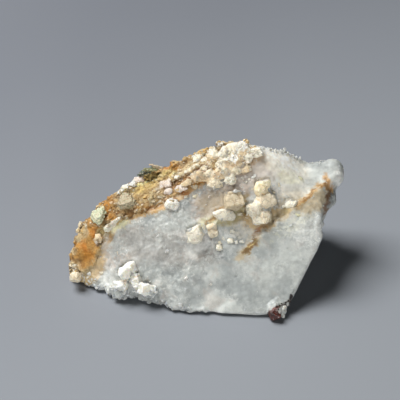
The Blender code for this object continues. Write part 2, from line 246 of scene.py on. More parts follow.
def seat(skin, px, py, ring=1.2, reach=16):
    """The skin under a dot of the picture, and its mean normal. Past the rim: the nearest skin inwards."""
    inward = Vector((STONE_MIDDLE[0] - px, STONE_MIDDLE[1] - py)).normalized()
    for step in range(reach):
        point = skin.ray_cast(EYE, sight(px + inward.x * step, py + inward.y * step))[0]
        if point is not None:
            break
    else:
        return None, None
    normal = Vector()
    for turn in range(12):
        off = RIGHT * math.cos(turn * math.pi / 6) + UP * math.sin(turn * math.pi / 6)
        normal += skin.find_nearest(point + off * ring * (0.5 + turn % 3 * 0.35) * MM)[1]
    shift = (RIGHT * -inward.x + UP * inward.y) * step * DOT
    return point + shift, normal.normalized()


def stance(point, normal, turn=0.0):
    """A matrix at the point: Z along the normal, Y upwards, turned about the normal by degrees."""
    side = UP.cross(normal).normalized()
    turned = Matrix((side, normal.cross(side), normal)).transposed().to_4x4()
    return Matrix.Translation(point) @ turned @ Matrix.Rotation(math.radians(turn), 4, "Z")


def wavering(points, size, amount):
    """A soft random shift of each point, size in mm and amount in dots, as two arrays."""
    shifts = np.array([noise.noise_vector(Vector(p) / (size * MM)) for p in points])
    return shifts[:, 0] * amount, shifts[:, 1] * amount


def clouds(points, size, rough, detail, shift=(0, 0, 0)):
    """A soft random value for each point, size in mm, from about -1 to 1."""
    places = [Vector(p) / (size * MM) + Vector(shift) for p in points]
    return np.array([noise.fractal(place, rough, 2.0, detail) for place in places])


def line_distance(px, py, line):
    """How far each dot is from a drawn line."""
    best = np.full(px.shape, 1e9)
    for (ax, ay), (bx, by) in zip(line, line[1:]):
        dx, dy = bx - ax, by - ay
        share = np.clip(((px - ax) * dx + (py - ay) * dy) / (dx * dx + dy * dy), 0, 1)
        best = np.minimum(best, np.hypot(px - ax - share * dx, py - ay - share * dy))
    return best


def smooth(low, high, value):
    """0 below low, 1 above high, and a smooth rise between."""
    share = np.clip((value - low) / (high - low), 0, 1)
    return share * share * (3 - 2 * share)


def seam_height(points):
    """How far each point is outside the seam under the crust, in mm."""
    top = points @ np.array(SEAM_TOP[0]) / MM - SEAM_TOP[1]
    left = points @ np.array(SEAM_LEFT[0]) / MM - SEAM_LEFT[1]
    return np.maximum(top, left)


def paint(thing, under, *sets):
    """Lays stains, painted highlights and painted shade on the skin as its tint: first those of under, then
    the strokes that the eye sees.
    Each set is a list of strokes and the share of it on each corner."""
    points, normals = skin_points(thing)
    px, py = in_picture(points)
    shift = wavering(points, 1.6, 3.2)
    finer = wavering(points, 0.5, 2.6)
    px, py = px + shift[0] + finer[0], py + shift[1] + finer[1]
    to_eye = np.array(EYE) - points
    facing = np.einsum("ij,ij->i", normals, to_eye / np.linalg.norm(to_eye, axis=1)[:, None])
    facing = smooth(-0.15, 0.15, facing)
    colour = np.zeros((len(points), 3))
    amount = np.zeros(len(points))
    layers = list(under(points, normals))
    for strokes, where in sets:
        for name, strength, width, line in strokes:
            near = smooth(0, 1, 1.35 - line_distance(px, py, line) / width)
            layers.append((name, strength * facing * near * where))
    for name, share in layers:
        share = np.clip(share, 0, 1)
        total = share + amount * (1 - share)
        mix = (share / np.maximum(total, 1e-6))[:, None]
        colour = colour * (1 - mix) + np.array(tone(name)) * mix
        amount = total
    colour = np.clip(colour * (1 + 0.22 * clouds(points, 0.9, 0.7, 2))[:, None], 0, 1)
    keep_tint(thing, np.hstack([colour, amount[:, None]]))


def tinted(thing, hue):
    """One tint for the whole thing: a palette colour, or a colour as linear light."""
    light = tone(hue) if isinstance(hue, str) else hue
    keep_tint(thing, np.tile((*light, 1.0), len(thing.data.vertices)))


# Finishes.

class Finish:
    """A Principled material whose colour and relief are built up from patterns, sizes in mm."""

    def __init__(self, name, **sockets):
        self.material = bpy.data.materials.new(name)
        self.material.use_nodes = True
        self.tree = self.material.node_tree
        self.shader = self.tree.nodes["Principled BSDF"]
        self.place = self.tree.nodes.new("ShaderNodeTexCoord").outputs["Object"]
        for socket, value in sockets.items():
            self.shader.inputs[socket.replace("_", " ")].default_value = value

    def add(self, kind, settings=(), **inputs):
        """A node with these settings, and a value or a link for each input."""
        made = self.tree.nodes.new(kind)
        for name, value in dict(settings).items():
            setattr(made, name, value)
        for name, value in inputs.items():
            self.put(made.inputs[name.replace("_", " ")], value)
        return made

    def put(self, socket, value):
        """Links the socket to an output, or sets its value."""
        if isinstance(value, bpy.types.NodeSocket):
            self.tree.links.new(value, socket)
        else:
            socket.default_value = value

    def cloud(self, size, detail=4.0, rough=0.55, twist=0.0):
        """Soft clouds."""
        made = self.add("ShaderNodeTexNoise", Vector=self.place, Scale=1 / (size * MM), Detail=detail,
                        Roughness=rough, Distortion=twist)
        return made.outputs["Fac"]

    def cells(self, size, feature="F1"):
        """Grains: how far each place is from a grain's middle or edge."""
        made = self.add("ShaderNodeTexVoronoi", {"feature": feature}, Scale=1 / (size * MM),
                        Vector=self.place)
        return made.outputs["Distance"]

    def cell_tones(self, size):
        """Grains, each with its own value."""
        made = self.add("ShaderNodeTexVoronoi", Scale=1 / (size * MM), Vector=self.place)
        return self.add("ShaderNodeSeparateColor", Color=made.outputs["Color"]).outputs[0]

    def spread(self, value, low, high, to_low=0.0, to_high=1.0):
        """A smooth rise (or fall) as the value goes from low to high."""
        made = self.add("ShaderNodeMapRange", {"interpolation_type": "SMOOTHSTEP"}, Value=value)
        for index, number in ((1, low), (2, high), (3, to_low), (4, to_high)):
            made.inputs[index].default_value = number
        return made.outputs[0]

    def sum(self, operation, first, second):
        """A sum of two values."""
        made = self.tree.nodes.new("ShaderNodeMath")
        made.operation = operation
        made.use_clamp = operation != "SUBTRACT"
        self.put(made.inputs[0], first)
        self.put(made.inputs[1], second)
        return made.outputs[0]

    def times(self, first, second):
        """One value times the other."""
        return self.sum("MULTIPLY", first, second)

    def mix(self, share, first, second, blend="MIX"):
        """A share of the second colour over the first. A colour may be a palette name."""
        made = self.tree.nodes.new("ShaderNodeMix")
        made.data_type = "RGBA"
        made.blend_type = blend
        self.put(made.inputs[0], share)
        for index, value in ((6, first), (7, second)):
            self.put(made.inputs[index], (*tone(value), 1) if isinstance(value, str) else value)
        return made.outputs[2]

    def hollow_shaded(self, share, base, fine, dark):
        """The base with the dark colour, as painted shade, in the hollows of the fine pattern."""
        shade = self.mix(self.spread(fine, 0.3, 0.7), dark, (1, 1, 1, 1))
        return self.mix(share, base, shade, "MULTIPLY")

    def tint(self):
        """The painted colour and how much of it there is."""
        made = self.add("ShaderNodeAttribute", {"attribute_name": "tint"})
        return made.outputs["Color"], made.outputs["Alpha"]

    def mask(self, name):
        """A number kept on the skin."""
        return self.add("ShaderNodeAttribute", {"attribute_name": name}).outputs["Fac"]

    def bump(self, *layers):
        """Fine relief in layers, each a height and its depth in mm."""
        normal = None
        for height, depth in layers:
            made = self.add("ShaderNodeBump", Height=height, Strength=1.0, Distance=depth * MM)
            if normal:
                self.tree.links.new(normal, made.inputs["Normal"])
            normal = made.outputs[0]
        self.tree.links.new(normal, self.shader.inputs["Normal"])

    def colour(self, value):
        """The colour of the whole."""
        self.put(self.shader.inputs["Base Color"], value)

    def give(self, socket, value):
        """Any other input of the shader."""
        self.put(self.shader.inputs[socket], value)


def white_rock_finish():
    """Sugary white quartz and marble: grey translucent patches, white grains, painted shade in the hollows of
    the fine relief, and the painted stains, highlights and shade.
    """
    f = Finish("sugary_white_rock", Roughness=0.5, Subsurface_Weight=0.8, Subsurface_Scale=2.2 * MM,
               Subsurface_Radius=(1.0, 0.95, 0.88), Specular_IOR_Level=0.35)
    broad = f.cloud(5.0, 3, 0.5, 0.3)
    middle = f.cloud(1.7, 4, 0.6, 0.3)
    fine = f.cloud(0.5, 3, 0.6)
    base = f.mix(f.spread(broad, 0.34, 0.66), "smoke", "milk")
    base = f.mix(f.spread(middle, 0.42, 0.72, 0.0, 0.4), base, "chalk")
    lilac = f.spread(f.cloud(3.5, 3, 0.5, 0.8), 0.52, 0.66, 0.0, 0.35)
    base = f.mix(lilac, base, "mauve")
    glassy = f.spread(f.cloud(1.1, 3, 0.6, 0.8), 0.50, 0.72, 0.0, 0.4)
    base = f.mix(glassy, base, "smoke")
    sugar = f.mask("sugar")
    grains = f.times(f.spread(f.cell_tones(0.4), 0.7, 0.98, 0.0, 0.45), sugar)
    base = f.mix(grains, base, "snow")
    dark = f.times(f.spread(f.cell_tones(0.5), 0.0, 0.2, 0.2, 0.0), sugar)
    base = f.mix(dark, base, "slate")
    colour, amount = f.tint()
    ragged = f.sum("ADD", amount, f.spread(f.cloud(0.8, 5, 0.75, 0.6), 0.3, 0.7, -0.5, 0.4))
    ragged = f.times(f.spread(ragged, 0.25, 0.75), 0.7)
    broken = f.sum("ADD", ragged, f.times(amount, 0.35))
    base = f.mix(broken, base, colour)
    # Painted shade in the hollows of the fine relief, where the rock is sugary.
    base = f.hollow_shaded(f.times(sugar, 0.2), base, fine, (0.55, 0.55, 0.55, 1))
    f.colour(base)
    f.give("Roughness", f.spread(f.cell_tones(0.5), 0.0, 1.0, 0.28, 0.65))
    f.bump((middle, 0.04), (f.times(f.cells(0.4), sugar), 0.05), (f.times(fine, sugar), 0.06))
    return f.material


def stained_crust_finish():
    """Crumbly rock soaked with iron: the painted patches, lighter on each grain, with painted shade in the
    creases and in the hollows of the fine relief.
    """
    f = Finish("iron_stained_crust", Roughness=0.8, Subsurface_Weight=0.2, Subsurface_Scale=0.8 * MM,
               Subsurface_Radius=(1.0, 0.75, 0.5), Specular_IOR_Level=0.25)
    middle = f.cloud(1.3, 4, 0.65, 0.5)
    fine = f.cloud(0.4, 4, 0.65)
    base = f.mix(f.spread(middle, 0.35, 0.65), "ochre", "honey")
    colour, amount = f.tint()
    base = f.mix(f.times(amount, f.spread(fine, 0.2, 0.6, 0.7, 1.1)), base, colour)
    grain = f.mask("grain")
    base = f.mix(f.spread(grain, 0.5, 1.0, 0.0, 0.6), base, "cream")
    base = f.mix(f.spread(grain, 0.3, 0.0, 0.0, 0.3), base, "ochre")
    light = f.times(f.spread(f.cell_tones(0.45), 0.7, 0.95, 0.0, 0.5), f.mask("loose"))
    base = f.mix(f.times(light, f.spread(middle, 0.4, 0.6)), base, "cream")
    # Painted shade: umber in the creases between the bulging grains.
    crease = f.spread(f.mask("crease"), 0.0, 0.4, 0.6, 0.0)
    base = f.mix(f.times(crease, f.spread(middle, 0.3, 0.55, 0.3, 1.0)), base, "umber")
    pits = f.spread(f.cloud(0.8, 4, 0.7, 1.0), 0.60, 0.74, 0.0, 0.6)
    base = f.mix(pits, base, "umber")
    # Painted shade in the hollows of the fine relief.
    base = f.hollow_shaded(0.4, base, fine, (0.55, 0.5, 0.45, 1))
    base = f.mix(1.0, base, (0.84, 0.80, 0.67, 1), "MULTIPLY")
    f.colour(base)
    f.bump((middle, 0.3), (f.cells(0.5), 0.12), (fine, 0.14))
    return f.material


def crystal_finish(name, weight, crack, rough, dirt):
    """Chalky crystals with hairline cracks: each has its own tint, mottled and a little see-through."""
    f = Finish(name, Roughness=rough, Subsurface_Weight=weight, Subsurface_Scale=1.2 * MM,
               Subsurface_Radius=(1.0, 0.9, 0.75), Specular_IOR_Level=0.4)
    colour, _ = f.tint()
    middle = f.cloud(0.9, 4, 0.6, 0.3)
    fine = f.cloud(0.3, 3, 0.6)
    base = f.mix(f.spread(middle, 0.3, 0.7), f.mix(0.15, colour, dirt, "MULTIPLY"), colour)
    base = f.mix(f.spread(fine, 0.55, 0.75, 0.0, 0.4), base, "ivory")
    base = f.mix(f.spread(f.cell_tones(0.35), 0.0, 0.3, 0.2, 0.0), base, dirt)
    edge = f.cells(1.0, "DISTANCE_TO_EDGE")
    lines = f.spread(edge, 0.0, 0.09, crack, 0.0)
    lines = f.times(lines, f.spread(middle, 0.42, 0.62))
    base = f.mix(lines, base, "umber")
    f.colour(base)
    f.bump((middle, 0.1), (f.spread(edge, 0.0, 0.12), 0.06), (fine, 0.05))
    return f.material


def mica_finish():
    """Greenish mica: pearly sheets, with olive streaks, beige flecks and brown blotches."""
    f = Finish("green_mica", Roughness=0.32, Specular_IOR_Level=0.7, Metallic=0.0, Subsurface_Weight=0.1,
               Subsurface_Scale=0.4 * MM)
    colour, _ = f.tint()
    streaks = f.cloud(0.7, 5, 0.7, 1.2)
    fine = f.cloud(0.25, 3, 0.6)
    base = f.mix(f.spread(streaks, 0.35, 0.65), f.mix(0.35, colour, "olive", "MULTIPLY"), colour)
    base = f.mix(f.spread(fine, 0.5, 0.7, 0.0, 0.6), base, "beige")
    base = f.mix(f.spread(f.cloud(0.45, 5, 0.7, 2.0), 0.5, 0.68, 0.0, 0.6), base, "umber")
    f.colour(base)
    f.give("Roughness", f.spread(streaks, 0.3, 0.7, 0.22, 0.6))
    f.bump((streaks, 0.15), (fine, 0.06))
    return f.material


def ruby_finish():
    """Dark red corundum: deep and glassy, with lighter red streaks and a worn frosted skin."""
    f = Finish("dark_ruby", Roughness=0.25, IOR=1.77, Specular_IOR_Level=0.35, Transmission_Weight=0.15)
    streaks = f.cloud(0.6, 4, 0.6, 1.5)
    fine = f.cloud(0.22, 3, 0.6)
    base = f.mix(f.spread(streaks, 0.4, 0.7), (0.045, 0.014, 0.010, 1), (0.17, 0.040, 0.026, 1))
    base = f.mix(f.spread(fine, 0.62, 0.78, 0.0, 0.5), base, (0.28, 0.14, 0.09, 1))
    f.colour(base)
    f.give("Roughness", f.spread(fine, 0.3, 0.7, 0.12, 0.45))
    f.bump((streaks, 0.12), (fine, 0.05))
    return f.material


def black_grain_finish():
    """Small black glassy grains beside the ruby."""
    f = Finish("black_grains", Roughness=0.25, Specular_IOR_Level=0.6)
    fine = f.cloud(0.2, 3, 0.6)
    f.colour(f.mix(f.spread(fine, 0.4, 0.7), (0.012, 0.011, 0.012, 1), (0.08, 0.06, 0.055, 1)))
    f.bump((fine, 0.06))
    return f.material


def quartz_finish():
    """Clear quartz, a little cloudy inside."""
    f = Finish("clear_quartz", Roughness=0.15, IOR=1.54, Transmission_Weight=0.25)
    haze = f.cloud(0.5, 3, 0.6)
    f.colour(f.mix(f.spread(haze, 0.3, 0.7), "chalk", "snow"))
    f.give("Roughness", f.spread(haze, 0.3, 0.7, 0.08, 0.3))
    f.bump((haze, 0.04))
    return f.material


def floor_finish():
    """A plain pale studio floor with painted shade: a little deeper in tone towards the back and towards the
    left.
    """
    f = Finish("studio_floor", Roughness=0.65, Specular_IOR_Level=0.2)
    place = f.add("ShaderNodeSeparateXYZ", Vector=f.place)
    # Painted shade: the floor darkens towards the back and the left.
    painted_shade_slope = f.sum("SUBTRACT", place.outputs["Y"], place.outputs["X"])
    base = f.mix(f.spread(painted_shade_slope, -0.12, 0.20), (0.285, 0.304, 0.328, 1), (0.170, 0.182, 0.206, 1))
    f.colour(f.mix(f.spread(f.cloud(60, 2), 0.2, 0.8, 0.0, 0.04), base, (0.3, 0.3, 0.3, 1)))
    return f.material


# Studio.

# Soft lights: name, place and side in metres, power in watts. All of them face the stone.
LIGHTS = (
    ("overhead_softbox", (-0.27, 0.11, 0.51), 0.34, 5.2),
    ("left_softbox", (-0.52, 0.16, 0.30), 0.30, 0.2),
    ("low_front_fill", (0.08, -0.62, 0.075), 0.12, 1.9),
)
LIT = Vector((0, 0, 0.012))
ROOM_LIGHT = (0.80, 0.86, 0.94, 1)
ROOM_STRENGTH = 0.012


def studio():
    """The camera, the floor, the soft lights and the faint light of the room."""
    bpy.ops.object.camera_add(location=EYE, rotation=(math.pi / 2 - TILT, 0, 0))
    camera = bpy.context.object
    camera.data.lens = 100
    camera.data.sensor_width = 36
    camera.data.clip_start = 0.005
    camera.data.clip_end = 20
    bpy.context.scene.camera = camera

    bpy.ops.mesh.primitive_plane_add(size=6, location=(0, 0, 0))
    floor = bpy.context.object
    floor.name = "studio_floor"
    floor.data.materials.append(floor_finish())

    for name, place, size, power in LIGHTS:
        bpy.ops.object.light_add(type="AREA", location=place)
        lamp = bpy.context.object
        lamp.name = name
        lamp.data.shape = "SQUARE"
        lamp.data.size = size
        lamp.data.energy = power
        lamp.rotation_euler = (LIT - Vector(place)).to_track_quat("-Z", "Y").to_euler()

    world = bpy.context.scene.world or bpy.data.worlds.new("soft_room")
    bpy.context.scene.world = world
    world.use_nodes = True
    sky = world.node_tree.nodes["Background"]
    sky.inputs["Color"].default_value = ROOM_LIGHT
    sky.inputs["Strength"].default_value = ROOM_STRENGTH
    bpy.context.scene.view_settings.view_transform = "Standard"


# Rock and crust.

# The solids that are crystals.
ON_STONE = [name for name in NODES if name.startswith(("cream", "crest", "white"))]

# Stains on the white rock, and its painted highlights and shade, as brush strokes: colour, strength, half
# width in dots, and the line in dots.
ROCK_STAINS_AND_PAINTED_LIGHT = (
    # Painted highlight: frost on the pale upper facet.
    ("frost", 1.0, 22, ((262, 164), (286, 176))),
    ("frost", 1.0, 14, ((262, 166), (284, 172), (298, 184))),
    # The knob: milk over it, painted highlights in snow on its lower right and right side, and painted shade
    # in smoke on its top.
    ("milk", 1.0, 18, ((316, 168), (328, 166), (338, 174))),
    ("snow", 0.8, 7, ((340, 176), (334, 182))),
    ("smoke", 0.45, 13, ((320, 167), (336, 171))),
    ("smoke", 0.6, 6, ((316, 164), (326, 163), (336, 163))),
    ("snow", 0.9, 5, ((343, 174), (341, 184))),
    ("milk", 0.6, 9, ((292, 186), (304, 188), (312, 184))),
    ("mauve", 0.75, 20, ((255, 172), (240, 184), (226, 198), (206, 206))),
    ("putty", 0.5, 12, ((208, 204), (222, 200), (240, 214))),
    ("putty", 0.45, 14, ((240, 228), (262, 214), (282, 206), (296, 200))),
    ("chalk", 0.35, 12, ((228, 232), (250, 230))),
    ("chalk", 0.5, 22, ((300, 226), (318, 222), (316, 236))),
    ("milk", 0.6, 15, ((272, 266), (292, 256), (262, 284))),
    ("smoke", 0.65, 16, ((250, 300), (275, 300), (285, 290))),
    ("smoke", 0.7, 14, ((143, 250), (158, 262), (172, 268))),
    ("smoke", 0.4, 14, ((205, 252), (232, 262), (226, 280))),
    ("smoke", 0.9, 13, ((230, 286), (248, 292))),
    ("mauve", 0.4, 20, ((132, 240), (165, 246), (200, 248))),
    ("smoke", 0.4, 13, ((134, 240), (152, 243), (174, 246))),
    ("slate", 0.2, 5, ((206, 250), (222, 256), (236, 252))),
    ("smoke", 0.6, 7, ((262, 254), (272, 252))),
    ("smoke", 0.55, 9, ((176, 285), (200, 300))),
    # Painted shadow: a slate strip where the right side turns away into shade.
    ("slate", 0.65, 6, ((326, 206), (330, 196), (333, 190))),
    ("chalk", 0.8, 8, ((96, 272), (112, 282), (104, 262))),
    ("chalk", 0.65, 7, ((205, 245), (190, 252))),
    ("mauve", 0.5, 9, ((102, 246), (108, 262), (124, 262))),
    ("moss", 0.4, 7, ((284, 176), (292, 177), (300, 176))),
    ("butter", 0.15, 9, ((268, 160), (286, 168))),
    ("moss", 0.15, 9, ((262, 240), (292, 226), (306, 214))),
    ("beige", 0.9, 9, ((320, 196), (316, 204), (308, 208))),
    ("moss", 0.7, 6, ((204, 222), (216, 220), (230, 220), (240, 210))),
    ("olive", 0.6, 4, ((222, 222), (236, 219), (243, 208), (245, 198))),
    ("ochre", 0.6, 2.4, ((206, 223), (213, 219), (219, 210), (228, 208), (241, 206))),
    ("umber", 0.6, 2.0, ((205, 222), (211, 219))),
    ("honey", 0.6, 7, ((246, 218), (256, 226), (268, 224), (276, 214))),
    ("umber", 0.6, 2.6, ((270, 222), (263, 226), (256, 230))),
    ("rust", 0.3, 3, ((258, 228), (255, 236))),
    ("putty", 0.6, 7, ((254, 240), (248, 249), (242, 255))),
    ("olive", 0.8, 3.6, ((253, 242), (249, 248), (244, 253))),
    ("umber", 0.7, 2.4, ((255, 243), (248, 251))),
    ("beige", 0.6, 4, ((243, 254), (238, 258))),
    ("putty", 0.8, 6, ((298, 204), (284, 213), (270, 222))),
    ("olive", 0.6, 3, ((290, 208), (284, 212))),
    # Painted highlight: more frost on the upper facet.
    ("frost", 0.8, 8, ((284, 162), (292, 168), (302, 172))),
    ("yellow", 0.7, 1.4, ((246, 247), (252, 244))),
    ("umber", 0.7, 1.2, ((254, 238), (250, 243), (244, 252))),
    ("honey", 0.4, 3.0, ((325, 184), (318, 187), (311, 192), (304, 199), (297, 206), (290, 211))),
    ("ochre", 0.7, 1.6, ((323, 185), (316, 189), (308, 195), (301, 202), (296, 207))),
    ("umber", 0.6, 0.8, ((323, 185), (316, 189), (308, 195), (301, 202), (296, 207))),
    ("ochre", 0.85, 3.6, ((325, 176), (328, 184), (330, 190))),
    ("umber", 0.6, 1.6, ((325, 180), (329, 188), (329, 196))),
    ("umber", 0.7, 2.2, ((329, 192), (327, 204), (324, 214))),
    ("ochre", 0.5, 5, ((260, 156), (252, 162), (244, 170))),
    ("honey", 0.7, 7, ((100, 258), (98, 270), (86, 280))),
    ("moss", 0.8, 4.0, ((104, 232), (112, 229), (124, 222))),
    ("claret", 0.85, 3.2, ((269, 316), (273, 311), (278, 308))),
    ("bark", 0.7, 1.8, ((276, 308), (281, 305), (284, 304))),
    ("bark", 0.8, 1.6, ((286, 305), (290, 302), (292, 300))),
)

# Patches on the stained crust, in the same way.
CRUST_STAINS = (
    ("orange", 0.95, 14, ((92, 234), (88, 246), (84, 256))),
    ("rust", 0.35, 4, ((96, 232), (84, 246), (92, 252))),
    ("honey", 0.6, 5, ((88, 238), (94, 250))),
    ("ochre", 0.9, 8, ((76, 254), (78, 264), (86, 266))),
    ("umber", 0.6, 4, ((70, 258), (76, 262), (82, 264))),
    ("beige", 0.9, 6, ((104, 234), (104, 252), (98, 264), (90, 272))),
    ("milk", 0.7, 4, ((107, 240), (107, 252), (101, 266))),
    ("cream", 0.9, 6, ((74, 266), (78, 276), (90, 280))),
    ("beige", 0.9, 6, ((80, 224), (84, 230), (78, 238))),
    ("umber", 0.8, 3, ((95, 230), (100, 231), (106, 228))),
    ("orange", 0.95, 7, ((108, 200), (111, 208), (112, 216))),
    ("putty", 0.85, 11, ((120, 206), (140, 206), (158, 206))),
    ("umber", 0.85, 4, ((120, 214), (130, 214), (136, 210))),
    ("ochre", 0.8, 7, ((142, 212), (156, 208), (166, 206))),
    ("rust", 0.6, 3, ((150, 208), (160, 207), (167, 203))),
    ("blush", 0.9, 8, ((124, 190), (136, 180), (144, 174))),
    ("yellow", 1.0, 10, ((139, 186), (148, 182), (152, 190))),
    ("yellow", 0.85, 8, ((150, 176), (162, 174), (172, 170))),
    ("leaf", 0.5, 4, ((174, 170), (180, 172))),
    ("rust", 0.95, 5, ((156, 169), (162, 166), (168, 165))),
    ("orange", 0.8, 4, ((173, 166), (182, 168))),
    ("mauve", 0.8, 8, ((158, 194), (164, 186), (170, 188))),
    ("beige", 0.75, 9, ((150, 195), (160, 200))),
    ("peach", 0.8, 9, ((176, 196), (186, 184), (200, 174))),
    ("ochre", 0.8, 4.5, ((184, 194), (194, 186), (208, 178), (216, 170))),
    ("orange", 0.7, 3.2, ((178, 200), (186, 192), (196, 184), (210, 177), (220, 170))),
    ("rust", 0.8, 2.0, ((174, 200), (180, 193), (186, 192), (182, 203))),
    ("peach", 0.85, 4, ((184, 186), (192, 182), (200, 177), (206, 171))),
    ("peach", 0.85, 3, ((178, 196), (182, 197))),
    ("peach", 0.8, 5, ((184, 176), (196, 170), (210, 164))),
    ("cream", 0.85, 7, ((186, 168), (198, 162), (212, 156))),
    ("ivory", 0.8, 6, ((196, 156), (210, 150))),
    ("orange", 0.9, 3.4, ((200, 149), (206, 148))),
    ("blush", 0.8, 5, ((182, 178), (192, 176), (206, 166))),
    ("ivory", 0.9, 4, ((176, 176), (186, 171), (198, 163), (214, 156))),
    ("ochre", 0.5, 4, ((222, 158), (236, 164), (246, 158), (252, 164))),
    ("moss", 0.8, 5, ((102, 230), (112, 227), (124, 222))),
    ("umber", 0.95, 1.6, ((163, 200), (168, 188), (176, 182), (188, 175), (200, 168), (209, 165))),
    ("rust", 0.45, 2.4, ((166, 200), (172, 188), (182, 182), (196, 174), (206, 170))),
    ("umber", 0.7, 1.3, ((180, 163), (192, 160), (206, 156))),
    ("umber", 0.6, 1.3, ((222, 154), (230, 150), (234, 144))),
    ("ivory", 1.0, 7, ((212, 143), (226, 139), (246, 139), (260, 147))),
    ("cream", 0.7, 5, ((218, 150), (232, 160), (246, 152))),
    ("ivory", 0.6, 4, ((226, 168), (238, 172))),
)


def rock_ground(points, normals):
    """Stains that lie in the stone itself: along the seam of the crust and along the old vein."""
    waver = clouds(points, 4, 0.6, 3)
    seam = seam_height(points) + waver
    vein = np.abs(points @ np.array(VEIN[0]) / MM - VEIN[1] + waver * 0.8)
    away = smooth(0.2, 0.6, normals[:, 1])
    yield "honey", 0.5 * smooth(-1.3, 0.2, seam)
    yield "ochre", 0.7 * smooth(-0.5, 0.5, seam)
    yield "ochre", 0.7 * away * smooth(1.6, 0.2, vein)
    yield "rust", 0.8 * away * smooth(0.7, 0.0, vein)
    yield "beige", 0.4 * away * smooth(3.0, 0.5, points[:, 2] / MM + waver * 2)
    yield "putty", 0.5 * away * smooth(0.15, 0.5, waver)
    yield "chalk", 0.5 * away * smooth(0.1, 0.5, -waver)


def crust_ground(points, normals):
    """The crust's own cloudy change from ochre to cream and brown, all round the stone."""
    waver = clouds(points, 5, 0.7, 4)
    second = clouds(points, 3, 0.7, 3, (7, 3, 1))
    yield "honey", smooth(-0.3, 0.1, waver) * 0.7
    yield "orange", smooth(0.2, 0.5, second) * 0.3
    yield "cream", smooth(0.0, 0.3, waver) * 0.8
    yield "umber", smooth(0.35, 0.6, -waver) * 0.5
    yield "beige", smooth(0.15, 0.4, -second) * 0.7


def distance_to(points, names, reach):
    """How far each point is from these solids, in mm. Past the reach it is 9."""
    tree = skin_tree(*[NODES[name] for name in names])
    found = [tree.find_nearest(Vector(p), reach * MM)[3] for p in points]
    return np.array([9.0 if far is None else far / MM for far in found])


def inside_oval(px, py, oval):
    """1 inside an oval of the picture (middle and half sizes in dots), 0 outside, soft at its edge."""
    return smooth(1.25, 0.85, np.hypot((px - oval[0]) / oval[2], (py - oval[1]) / oval[3]))


# Places on the rock: the oval in which the ruby stands free of it (middle and half sizes in dots), the pale
# upper facet and the sugary lower edge as lines in dots, and the rounded knob.
BARE_RUBY = (272.8, 317.8, 6.4, 5.8)
UPPER_FACET = ((262, 164), (300, 182))
LOWER_RIM = ((86, 280), (96, 285), (108, 290), (140, 300), (152, 303), (166, 307), (180, 312), (200, 314))
KNOB_MIDDLE = Vector((28.1, 12.2, 19.75)) * MM
KNOB_RADIUS = 2.65 * MM

EVEN = pattern("even", "CLOUDS", 3.0, intensity=1.0, contrast=0.3)
ROCK_LUMPS = pattern("rock_lumps", "CLOUDS", 2.4, noise_type="HARD_NOISE", noise_depth=3)
ROCK_GRAINS = pattern("rock_grains", "VORONOI", 0.8, distance_metric="DISTANCE")
ROCK_SUGAR = pattern("rock_sugar", "CLOUDS", 0.45, noise_depth=2)
RIM_SUGAR = pattern("rim_sugar", "VORONOI", 1.2, distance_metric="DISTANCE")
BROKEN_BACK = pattern("broken_back", "CLOUDS", 4.0, noise_depth=3)
BACK_CHIPS = pattern("broken_back_chips", "VORONOI", 2.2, distance_metric="DISTANCE")
CRUST_LUMPS = pattern("crust_lumps", "CLOUDS", 2.6, noise_depth=2)
CRUST_CRUMBS = pattern("crust_crumbs", "CLOUDS", 0.9, noise_type="HARD_NOISE", noise_depth=3)


def rock_block():
    """Rock, crust and crystals melted into one skin, which runs on just under the crust and every crystal."""
    rock = merged_copy("white_rock", ["matrix", "iron_stained_crust", "ruby_crystal", *ON_STONE])
    bpy.ops.object.select_all(action="DESELECT")
    bpy.ops.mesh.primitive_ico_sphere_add(subdivisions=4, radius=KNOB_RADIUS, location=KNOB_MIDDLE)
    rock = joined([rock, bpy.context.object], "white_rock")
    swell(rock, 0.24)
    remesh(rock, 0.28)
    swell(rock, -0.28)
    soften(rock, 9)
    return rock


def mark_rock(rock):
    """Marks on the rock where each relief goes, and keeps how sugary each place is."""
    points, normals = skin_points(rock)
    px, py = in_picture(points)
    bare = inside_oval(px, py, BARE_RUBY)
    ruby = smooth(0.7, 0.35, distance_to(points, ["ruby_crystal"], 1.0))
    wavy = wavering(points, 2.0, 4.0)
    px, py = px + wavy[0], py + wavy[1]
    calm = smooth(0, 14, px - 205 + (py - 262) * 0.9) * smooth(226, 240, py + (px - 300) * 0.2)
    low = smooth(0.3, 1.6, points[:, 2] / MM)
    knob = np.linalg.norm(points - np.array(KNOB_MIDDLE), axis=1) / MM
    to_crystal = distance_to(points, ON_STONE, 2.0)
    smoother = 1 - 0.65 * smooth(28, 12, line_distance(px, py, UPPER_FACET))
    group_of(rock, "rough", (1.0 - 0.75 * calm) * smoother * low * (0.25 + 0.75 * smooth(2.6, 4.0, knob)))
    group_of(rock, "all", (0.3 + 0.7 * low) * smoother * (1 - 0.5 * calm))
    keep_values(rock, "sugar", (1 - 0.65 * calm) * smoother)
    group_of(rock, "under", smooth(0.45, 1.0, seam_height(points)))
    group_of(rock, "hidden", smooth(0.5, 0.3, to_crystal))
    group_of(rock, "knob", smooth(6.0, 3.5, knob))
    rim = smooth(8, 3, line_distance(px, py, LOWER_RIM))
    group_of(rock, "rim", rim * smooth(0.1, 0.8, points[:, 2] / MM))
    back = smooth(0.1, 0.6, normals[:, 1]) * smooth(4.0, 6.0, knob) * smooth(1.0, 3.0, points[:, 2] / MM)
    group_of(rock, "far side", back * smooth(0.0, -1.5, seam_height(points)))
    group_of(rock, "right edge", smooth(322, 328, px) * smooth(204, 213, py) * smooth(266, 246, py))
    group_of(rock, "collar", smooth(1.9, 0.6, to_crystal) * smooth(0.3, 0.55, to_crystal))
    group_of(rock, "over ruby", ruby * (1 - bare))
    group_of(rock, "bare ruby", ruby * bare)


